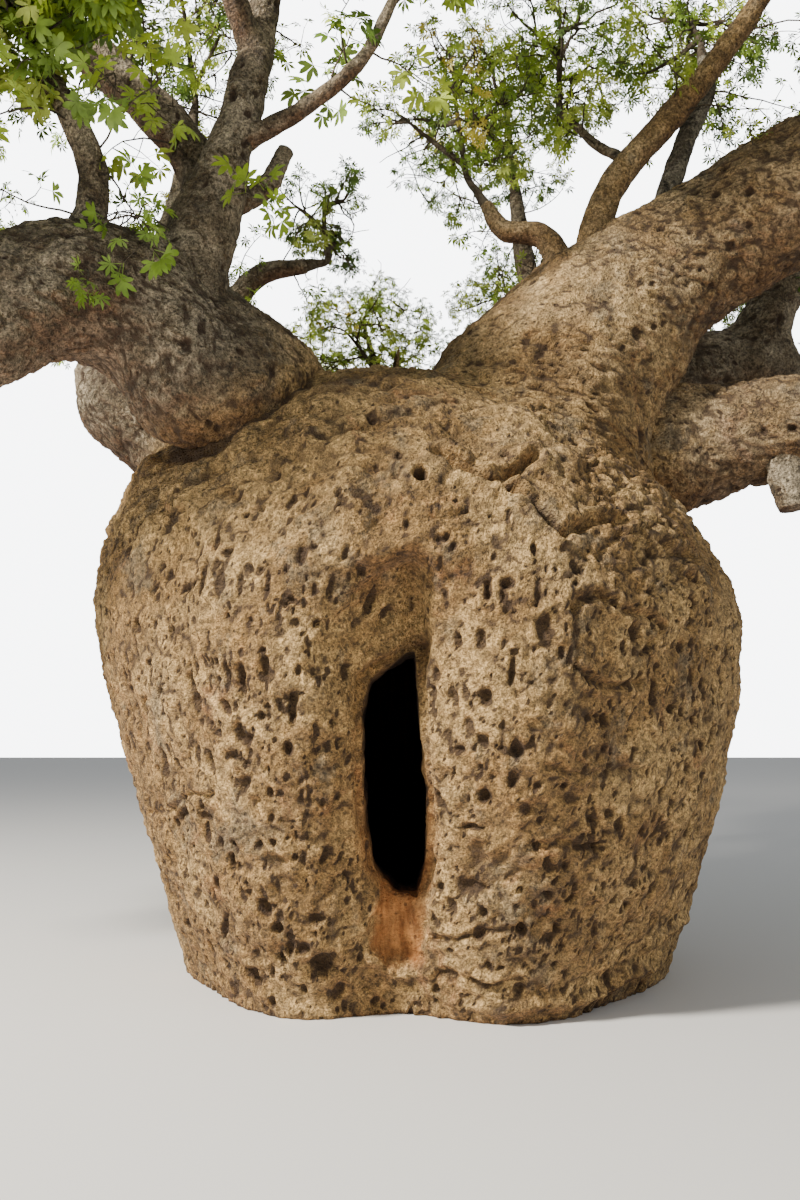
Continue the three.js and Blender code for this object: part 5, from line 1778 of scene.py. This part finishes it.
# %% Growing the sprigs
# Each sprig is (limb, share of the way along it, [way out], length, hang).
SPRIGS = [
    ("limb_left_outer", 0.45, [0.6, -0.8, 0.0], 0.85, -0.2),
    ("limb_left_outer", 0.7, [-0.5, -0.8, 0.2], 0.8, -0.22),
    ("limb_left_outer", 0.9, [0.8, -0.5, 0.3], 0.8, -0.16),
    ("limb_left_outer", 0.25, [-0.8, -0.6, 0.2], 0.6, -0.1),
    ("limb_left_outer", 0.6, [0.9, -0.1, 0.5], 0.7, -0.05),
    ("limb_left_back", 0.35, [-0.4, -0.9, 0.3], 0.9, -0.16),
    ("limb_left_back", 0.55, [0.2, -0.9, 0.2], 0.8, -0.14),
    ("limb_left_back", 0.75, [-0.3, -0.9, 0.1], 0.9, -0.12),
    ("limb_left_riser", 0.25, [0.7, -0.7, 0.1], 0.5, -0.2),
    ("limb_left_riser", 0.15, [-0.5, -0.8, 0.2], 0.6, -0.25),
    ("limb_left_riser", 0.45, [-0.8, -0.5, 0.2], 0.7, -0.1),
    ("limb_left_arch", 0.5, [0.2, -0.5, 0.8], 0.4, -0.1),
    ("limb_left_arch", 0.75, [0.6, 0.3, -0.3], 0.5, -0.12),
    ("limb_left_arch", 0.3, [0.3, 0.3, 0.7], 0.5, 0.0),
    ("bough_left_front", 0.85, [0.5, -0.6, 0.6], 0.6, -0.2),
    ("bough_right_front", 0.62, [0.3, -0.6, 0.8], 0.42, 0.1),
    ("limb_middle", 0.6, [0.3, -0.3, 0.9], 0.55, 0.05),
    ("limb_middle", 0.85, [0.6, -0.3, 0.4], 0.5, -0.1),
    ("limb_pale", 0.5, [0.8, -0.5, 0.2], 0.7, -0.12),
    ("limb_pale", 0.75, [0.9, -0.3, 0.1], 0.8, -0.14),
    ("limb_pale", 0.6, [-0.8, -0.4, 0.2], 0.6, -0.06),
    ("limb_mottled", 0.7, [0.9, -0.4, 0.1], 0.8, -0.1),
]
SCATTERED_SPRIGS = 3  # on each limb
SCATTERED_HANG = -0.02
SPRIG_RADII = (0.009, 0.004)
SHOOT_RADII = (0.005, 0.003)


def grow_sprig(limb, share, way, length, hang, sizes, dice):
    """A bare twig out of a limb's skin, with shoots and rosettes along its outer half."""
    line = LINES_OF[limb]
    spot = line[int(share * (len(line) - 1))]
    way = unit(np.array(way, float))
    start = spot[:3] + way * spot[3] * 0.9
    colour = int(dice.choice(LEAF_COLOURS, p=COLOUR_CHANCES))
    twig, end_way = bent_line(start, way, length, SPRIG_RADII, 9, dice, 0.16, hang)
    add_rosette(twig[-1, :3], end_way, 4, sizes, colour, dice)
    for low in (4, 5, 6, 7):
        root = twig[low, :3]
        side = across(unit(twig[low + 1, :3] - root), dice.uniform(0, 6.3))
        shoot_length = length * dice.uniform(0.12, 0.3)
        shoot, shoot_way = bent_line(
            root, unit(side + [0, 0, 0.2]), shoot_length, SHOOT_RADII, 3, dice, 0.2, -0.05
        )
        add_rosette(shoot[-1, :3], shoot_way, dice.integers(2, 4), sizes, colour, dice)


sprig_dice = np.random.default_rng(808)
for limb, share, way, length, hang in SPRIGS:
    sizes = LARGE_LEAFLETS if limb.startswith("limb_left") else LEAFLETS
    grow_sprig(limb, share, way, length, hang, sizes, sprig_dice)
for limb, (_, controls) in LIMBS.items():
    for _ in range(0 if limb.startswith("stub") else SCATTERED_SPRIGS):
        way = sprig_dice.normal(size=3) + [0, 0.5, 0.6]
        share = sprig_dice.uniform(0.5, 0.98)
        length = sprig_dice.uniform(0.3, 0.65)
        grow_sprig(limb, share, way, length, SCATTERED_HANG, LEAFLETS, sprig_dice)
print("Sprigs:", len(SPRIGS), "placed, and", SCATTERED_SPRIGS, "on each limb")

# %% [markdown]
# ## The leaf
#
# A baobab's leaf is a hand: five to seven leaflets spread from the top of a stalk. Each leaflet is
# narrow at its root, widest past its middle, and droops. Four triangles are enough for that
# outline, and two for the small leaves that are seen from farther off. A dozen leaf shapes are
# made once and laid down thousands of times, each turned and sized by its row in the table.


# %% Leaf shapes
# A leaflet's outline, as shares of its length: [along, to the side].
LEAFLET = np.array([[0, 0], [0.5, 0.165], [0.8, 0.135], [1, 0], [0.8, -0.135], [0.5, -0.165]])
LEAFLET_FACES = np.array([[0, 5, 1], [1, 5, 4], [1, 4, 2], [2, 4, 3]])
PLAIN_LEAFLET = np.array([[0, 0], [0.6, 0.15], [1, 0], [0.6, -0.15]])
PLAIN_FACES = np.array([[0, 3, 1], [1, 3, 2]])
PLAIN_BELOW = 0.0925  # leaves with shorter leaflets than this are the plain ones
LEAFLET_COUNTS = (5, 5, 6, 7, 5, 6)
FAN = {5: 82, 6: 105, 7: 105}  # degrees to each side, for so many leaflets


def leaf_shape(leaflets, outline, outline_faces, dice):
    """Points and triangles of one hand-shaped leaf: stalk end at the origin, +X ahead, +Z up."""
    points = []
    faces = []
    spread = math.radians(FAN[leaflets])
    for k in range(leaflets):
        share = k / (leaflets - 1) * 2 - 1
        angle = share * spread + dice.normal() * 0.06
        length = (1 - 0.38 * abs(share) ** 1.5) * dice.uniform(0.9, 1.1)
        x = outline[:, 0] * length
        y = outline[:, 1] * length * dice.uniform(0.9, 1.2)
        z = 0.12 * x - dice.uniform(0.15, 0.5) * x**2 + np.abs(y) * 0.35
        faces.append(outline_faces + len(outline) * k)
        points.append(np.column_stack([
            x * math.cos(angle) - y * math.sin(angle), x * math.sin(angle) + y * math.cos(angle), z
        ]))
    return np.vstack(points), np.vstack(faces)


shape_dice = np.random.default_rng(9)
LEAF_SHAPES = [
    leaf_shape(leaflets, outline, outline_faces, shape_dice)
    for outline, outline_faces in ((LEAFLET, LEAFLET_FACES), (PLAIN_LEAFLET, PLAIN_FACES))
    for leaflets in LEAFLET_COUNTS
]

# %% Laying down leaves
STALK_FACES = np.array([[0, 1, 2], [0, 2, 3]])
STALK_HALF = 0.002


def lay_leaves(rows, dice):
    """One joined table of points and triangles for all the leaves in `rows`."""
    rows = np.array(rows)
    half = len(LEAFLET_COUNTS)
    kind = dice.integers(0, half, len(rows)) + half * (rows[:, LEAFLET_LENGTH] < PLAIN_BELOW)
    points = []
    faces = []
    total = 0

    def lay(blocks, block_faces):
        nonlocal total
        steps = total + np.arange(len(blocks)) * blocks.shape[1]
        points.append(blocks.reshape(-1, 3))
        faces.append((block_faces[None] + steps[:, None, None]).reshape(-1, 3))
        total += blocks.shape[0] * blocks.shape[1]

    for number, (shape, shape_faces) in enumerate(LEAF_SHAPES):
        mine = rows[kind == number]
        if len(mine) == 0:
            continue
        root, stalk_way, ahead, up = (mine[:, 3 * k : 3 * k + 3] for k in range(4))
        size, stalk = mine[:, LEAFLET_LENGTH], mine[:, STALK_LENGTH]
        hub = root + stalk_way * stalk[:, None]
        side = np.cross(up, ahead)
        side /= np.linalg.norm(side, axis=1)[:, None] + 1e-9
        up = np.cross(ahead, side)
        frame_ways = np.stack([ahead, side, up], axis=1)
        lay(hub[:, None] + (shape @ frame_ways) * size[:, None, None], shape_faces)
        edge = side * STALK_HALF
        lay(np.stack([root - edge, root + edge, hub + edge, hub - edge], axis=1), STALK_FACES)
    return np.vstack(points), np.vstack(faces)


# %% Laying down twigs
LUMPY_RADIUS = 0.02  # thinner twigs are smooth


def lay_twigs(lines):
    """One joined table of points and triangles for all the twigs in `lines`."""
    points = []
    faces = []
    total = 0
    for line in lines:
        columns = int(np.clip(3 + line[0, 3] * 90, 3, 16))
        block, out = tube(line, columns)
        if line[0, 3] > LUMPY_RADIUS:
            lumps = 0.16 * soft_noise(block, 0.16) + 0.1 * soft_noise(block, 0.05)
            radius = np.concatenate([np.repeat(line[:, 3], columns), [0, 0]])
            block = block + out * (lumps * radius)[:, None]
        points.append(block)
        faces.append(tube_faces(len(line), columns) + total)
        total += len(block)
    return np.vstack(points), np.vstack(faces)


# %% Leaves and twigs become meshes
leaf_pieces = {}
for number, name in enumerate(COLOUR_NAMES):
    points, faces = lay_leaves(leaves[number], np.random.default_rng(60 + number))
    leaf_pieces[name] = make_mesh("leaves_" + name, points, faces)
    print("Leaves,", name, len(faces), "triangles")

# All the twigs would make one mesh too heavy, so the thick and the fine ones are apart.
THICK_TWIG = 0.0065
twig_pieces = []
for name, fine in (("twigs", False), ("twiglets", True)):
    points, faces = lay_twigs([line for line in twig_lines if (line[0, 3] < THICK_TWIG) == fine])
    piece = make_mesh(name, points, faces)
    set_field(piece, "dark", np.full(len(points), 0.4))
    set_field(piece, "shade_below", np.zeros(len(points)))
    set_field(piece, "grey", np.full(len(points), 0.9))
    twig_pieces.append(piece)
    print("Made", name, "with", len(faces), "triangles")

# %% [markdown]
# ## Bark as a material
#
# The colour of old bark comes in layers, so the material is built in layers too: broad patches of
# tan and grey, then mottling as big as a coin, then fine grain, painted lighter on the bump's
# raised grains and darker in its hollows as painted light and shade. Bark that faces down gets
# painted shade. The pits and creases are darkened where the mesh says they are, with a ragged edge
# from
# noise: painted shade, with some dirt. Every pattern is read from the object's own coordinates, so
# it stays on the tree from any side.


# %% Nodes
def add_node(tree, kind, settings=None, **inputs):
    """A node with its settings, whose inputs are numbers, colours or other nodes' outputs."""
    made = tree.nodes.new(kind)
    for key, value in (settings or {}).items():
        setattr(made, key, value)
    for key, value in inputs.items():
        socket = made.inputs[int(key[1:])] if key[1:].isdigit() else made.inputs[key]
        if isinstance(value, bpy.types.NodeSocket):
            tree.links.new(value, socket)
        else:
            socket.default_value = value
    return made


def noise(tree, where, scale, detail=4.0, rough=0.55, warp=0.0):
    made = add_node(
        tree, "ShaderNodeTexNoise", Vector=where, Scale=scale, Detail=detail, Roughness=rough,
        Distortion=warp,
    )
    return made.outputs["Fac"]


# %% Sums and mixes of nodes
def window(tree, value, low, high):
    """From 0 to 1 as a value goes from `low` to `high`, smoothly."""
    settings = {"interpolation_type": "SMOOTHSTEP"}
    made = add_node(tree, "ShaderNodeMapRange", settings, i0=value, i1=low, i2=high)
    return made.outputs["Result"]


def blend_colour(tree, share, first, second, way="MIX"):
    settings = {"data_type": "RGBA", "blend_type": way}
    made = add_node(tree, "ShaderNodeMix", settings, i0=share, i6=first, i7=second)
    return made.outputs[2]


def sums(tree, kind, a, b=0.0):
    return add_node(tree, "ShaderNodeMath", {"operation": kind}, i0=a, i1=b).outputs[0]


def field(tree, name):
    return add_node(tree, "ShaderNodeAttribute", {"attribute_name": name}).outputs["Fac"]


def stretched(tree, where, scale):
    settings = {"vector_type": "POINT"}
    return add_node(tree, "ShaderNodeMapping", settings, Vector=where, Scale=scale).outputs[0]


# %% Materials and colours
def new_material(name, rough):
    material = bpy.data.materials.new(name)
    material.use_nodes = True
    tree = material.node_tree
    shader = tree.nodes["Principled BSDF"]
    shader.inputs["Roughness"].default_value = rough
    where = tree.nodes.new("ShaderNodeTexCoord").outputs["Object"]
    return material, tree, shader, where


def from_screen(red, green, blue):
    """A colour given as it looks on a screen, 0 to 255, as the light values that Blender wants."""
    linear = []
    for v in (red, green, blue):
        linear.append(((v / 255 + 0.055) / 1.055) ** 2.4 if v > 10 else v / 255 / 12.92)
    return (*linear, 1.0)


# %% The bark's colours
# The first of a pair is the darker one.
TAN = from_screen(146, 114, 68), from_screen(180, 147, 95)
GREY = from_screen(106, 96, 78), from_screen(146, 136, 116)
RUST = from_screen(142, 92, 56)
ASH = from_screen(112, 102, 82)
BLOTCH = from_screen(50, 44, 36)
# Painted shade on bark that faces down:
UNDERSIDE_SHADE = from_screen(104, 66, 42)
# Painted shade, with some dirt, in pits and creases:
PIT_SHADE_AND_DIRT = from_screen(58, 40, 25)
# Painted shade in the tiny holes of the bump:
SPECK = from_screen(50, 36, 25)
WOOD = from_screen(138, 84, 40), from_screen(204, 144, 84)
# Painted shade inside the chamber:
HOLLOW_SHADE = from_screen(34, 22, 15), from_screen(70, 47, 31)
BARK_ROUGHNESS = 0.92
BUMP_HEIGHT = 0.032


# %% Layers of bark
def times(tree, a, b):
    return sums(tree, "MULTIPLY", a, b)


def brightness(tree, value, darkest, lightest):
    """A grey that runs from `darkest` to `lightest` as a noise goes from low to high."""
    made = add_node(
        tree, "ShaderNodeMapRange", None, i0=value, i1=0.36, i2=0.64, i3=darkest, i4=lightest
    )
    return made.outputs["Result"]


def speckled(tree, colour, value, darkest, lightest):
    """A colour made darker and lighter by a noise."""
    grey = brightness(tree, value, darkest, lightest)
    return blend_colour(tree, 1.0, colour, grey, "MULTIPLY")


def bark_material(name):
    """Layered bark: tan where the mesh's grey is 0, and grey with black blotches where it is 1."""
    material, tree, shader, where = new_material(name, BARK_ROUGHNESS)
    broad = window(tree, noise(tree, where, 1.7, 3, 0.62, 0.5), 0.4, 0.6)
    coin = noise(tree, where, 9, 5, 0.75, 0.3)
    fine = noise(tree, where, 40, 3, 0.7)
    tan = blend_colour(tree, broad, *TAN)
    rust = window(tree, noise(tree, where, 2.3, 4, 0.65, 0.6), 0.58, 0.7)
    tan = blend_colour(tree, times(tree, rust, 0.5), tan, RUST)
    ash = window(tree, noise(tree, stretched(tree, where, (1, 1, 0.8)), 2.9, 5, 0.7), 0.54, 0.66)
    tan = blend_colour(tree, times(tree, ash, 0.6), tan, ASH)
    grey = blend_colour(tree, broad, *GREY)
    blotch = window(tree, noise(tree, where, 3.8, 6, 0.8, 0.9), 0.5, 0.58)
    grey = blend_colour(tree, times(tree, blotch, 0.85), grey, BLOTCH)
    colour = blend_colour(tree, field(tree, "grey"), tan, grey)
    # Bark that faces down is painted a darker red-brown: painted shade.
    under = times(tree, field(tree, "shade_below"), 0.55)
    colour = blend_colour(tree, under, colour, UNDERSIDE_SHADE)
    colour = speckled(tree, colour, coin, 0.64, 1.34)
    # The fine grain is painted lighter where the bump raises it and darker in its hollows: painted
    # light and shade.
    colour = speckled(tree, colour, fine, 0.4, 1.64)
    colour = speckled(tree, colour, noise(tree, where, 95, 1, 0.5), 0.72, 1.28)
    return material, tree, shader, where, colour, fine, coin


def finish_bark(tree, shader, where, colour, fine, coin):
    """The painted shade and dirt of pits and creases over the colour, and the fine bump under it.
    """
    ragged = sums(tree, "ADD", field(tree, "dark"), times(tree, fine, 0.9))
    # Pits, creases, folds and the foot of each butt take painted shade, with some dirt.
    pit = window(tree, ragged, 0.66, 1.0)
    colour = blend_colour(tree, times(tree, pit, 0.88), colour, PIT_SHADE_AND_DIRT)
    # The bump's tiny holes are painted dark: painted shade.
    cells = add_node(tree, "ShaderNodeTexVoronoi", {"feature": "F1"}, Vector=where, Scale=22.0)
    speck = window(tree, cells.outputs["Distance"], 0.3, 0.12)
    speck = times(tree, speck, window(tree, coin, 0.44, 0.56))
    colour = blend_colour(tree, times(tree, speck, 0.55), colour, SPECK)
    swell = noise(tree, where, 12, 2, 0.5)
    grain = noise(tree, where, 75, 2, 0.5)
    height = sums(tree, "ADD", times(tree, fine, 1.3), times(tree, swell, 1.1))
    height = sums(tree, "ADD", height, times(tree, grain, 0.3))
    height = sums(tree, "SUBTRACT", height, times(tree, speck, 0.5))
    bump = add_node(tree, "ShaderNodeBump", None, Strength=1.0, Distance=BUMP_HEIGHT, Height=height)
    tree.links.new(bump.outputs["Normal"], shader.inputs["Normal"])
    tree.links.new(colour, shader.inputs["Base Color"])


# %% Trunk, limbs and twigs get their bark
trunk_bark, tree, shader, where, colour, fine, coin = bark_material("trunk_bark")
grain = window(tree, noise(tree, stretched(tree, where, (1, 1, 0.12)), 22, 5, 0.6), 0.3, 0.7)
wood = speckled(tree, blend_colour(tree, grain, *WOOD), coin, 0.6, 1.25)
colour = blend_colour(tree, field(tree, "bare"), colour, wood)
# Inside the hollow the wood is painted very dark: painted shade.
inside = blend_colour(tree, grain, *HOLLOW_SHADE)
colour = blend_colour(tree, field(tree, "hollow"), colour, inside)
finish_bark(tree, shader, where, colour, fine, coin)

limb_bark, tree, shader, where, colour, fine, coin = bark_material("limb_bark")
finish_bark(tree, shader, where, colour, fine, coin)

dress(trunk, trunk_bark, ["trunk"])
for name, piece in limb_pieces.items():
    dress(piece, limb_bark, [name])
for piece in twig_pieces:
    dress(piece, limb_bark, mass_names)
print("Bark is on", 3 + len(limb_pieces), "pieces")

# %% [markdown]
# ## Leaf colours
#
# New leaves are a yellow green, older ones darker, and a few have turned. A pattern would be lost
# on such small things, so each spray has one plain colour and each colour is one material. A faint
# cloudy change of tone keeps them from looking like paper.

# %% Leaf materials
LEAF_TONES = {
    "fresh": (168, 192, 56),
    "grass": (150, 176, 50),
    "green": (128, 158, 46),
    "lime": (192, 206, 88),
    "deep": (98, 126, 42),
    "bright": (182, 200, 68),
    "soft": (140, 168, 66),
    "yellow": (206, 190, 70),
}
LEAF_SHADE = 0.72  # how bright the darker parts of a cloud are
LEAF_ROUGHNESS = 0.5
for name, piece in leaf_pieces.items():
    material, tree, shader, where = new_material("leaf_" + name, LEAF_ROUGHNESS)
    tone = from_screen(*LEAF_TONES[name])
    darker = tuple(LEAF_SHADE * v for v in tone[:3]) + (1.0,)
    cloud = window(tree, noise(tree, where, 14, 3), 0.35, 0.65)
    tree.links.new(blend_colour(tree, cloud, darker, tone), shader.inputs["Base Color"])
    dress(piece, material, mass_names)
print("Leaf colours:", len(leaf_pieces))

# %% [markdown]
# ## Studio
#
# The tree stands on a plain pale floor under a plain pale sky. One lamp high on the left models the
# bark, and a broad weak one on the right keeps the shade open. The sky that is seen behind the tree
# is paler than the light it gives, as a studio's backdrop is.

# %% Floor
FLOOR_REACH = 90
FLOOR_COLOUR = from_screen(222, 220, 214)
FLOOR_ROUGHNESS = 0.8
FLOOR_SINK = 0.002  # so that the floor and the flat cut under the trunk don't flicker
corners = np.array([[-1, -1, 0], [1, -1, 0], [1, 1, 0], [-1, 1, 0]])
floor = make_mesh("floor", corners * FLOOR_REACH + [0, 0, -FLOOR_SINK], np.array([[0, 1, 2, 3]]))
floor_paint, _, shader, _ = new_material("floor_paint", FLOOR_ROUGHNESS)
shader.inputs["Base Color"].default_value = FLOOR_COLOUR
floor.data.materials.append(floor_paint)
print("The floor is", 2 * FLOOR_REACH, "m across")

# %% Lamps
# Each lamp is [place, spot it is aimed at, size, power in watts, tone].
LAMPS = {
    "key": ((-11.5, -9.5, 13.5), (0, 0, 2.5), 2, 8400, (1.0, 0.95, 0.88)),
    "fill": ((10, -10, 6), (0, 0, 2.5), 8, 220, (0.95, 0.97, 1.0)),
}


def add_lamp(name, place, aim, size, power, tone):
    lamp = bpy.data.lights.new(name, "AREA")
    lamp.size = size
    lamp.energy = power
    lamp.color = tone
    made = bpy.data.objects.new(name, lamp)
    made.location = place
    way = np.array(aim) - np.array(place)
    level = math.hypot(way[0], way[1])
    made.rotation_euler = (math.atan2(level, -way[2]), 0, math.atan2(way[1], way[0]) - math.pi / 2)
    bpy.context.scene.collection.objects.link(made)


for name, (place, aim, size, power, tone) in LAMPS.items():
    add_lamp(name, place, aim, size, power, tone)
print("Lamps:", len(LAMPS))

# %% Sky
SKY_COLOUR, SKY_STRENGTH = (0.86, 0.9, 0.96, 1), 0.5
BACKDROP_COLOUR, BACKDROP_STRENGTH = (0.96, 0.98, 1, 1), 7.5
sky = bpy.data.worlds.new("sky")
sky.use_nodes = True
tree = sky.node_tree
glow = tree.nodes["Background"]
glow.inputs["Color"].default_value = SKY_COLOUR
glow.inputs["Strength"].default_value = SKY_STRENGTH
backdrop = add_node(
    tree, "ShaderNodeBackground", None, Color=BACKDROP_COLOUR, Strength=BACKDROP_STRENGTH
)
seen = add_node(tree, "ShaderNodeLightPath").outputs["Is Camera Ray"]
mixed = add_node(
    tree, "ShaderNodeMixShader", None, i0=seen, i1=glow.outputs[0], i2=backdrop.outputs[0]
)
tree.links.new(mixed.outputs[0], tree.nodes["World Output"].inputs["Surface"])
bpy.context.scene.world = sky
print("The sky gives", SKY_STRENGTH, "of light and shows as", BACKDROP_STRENGTH)
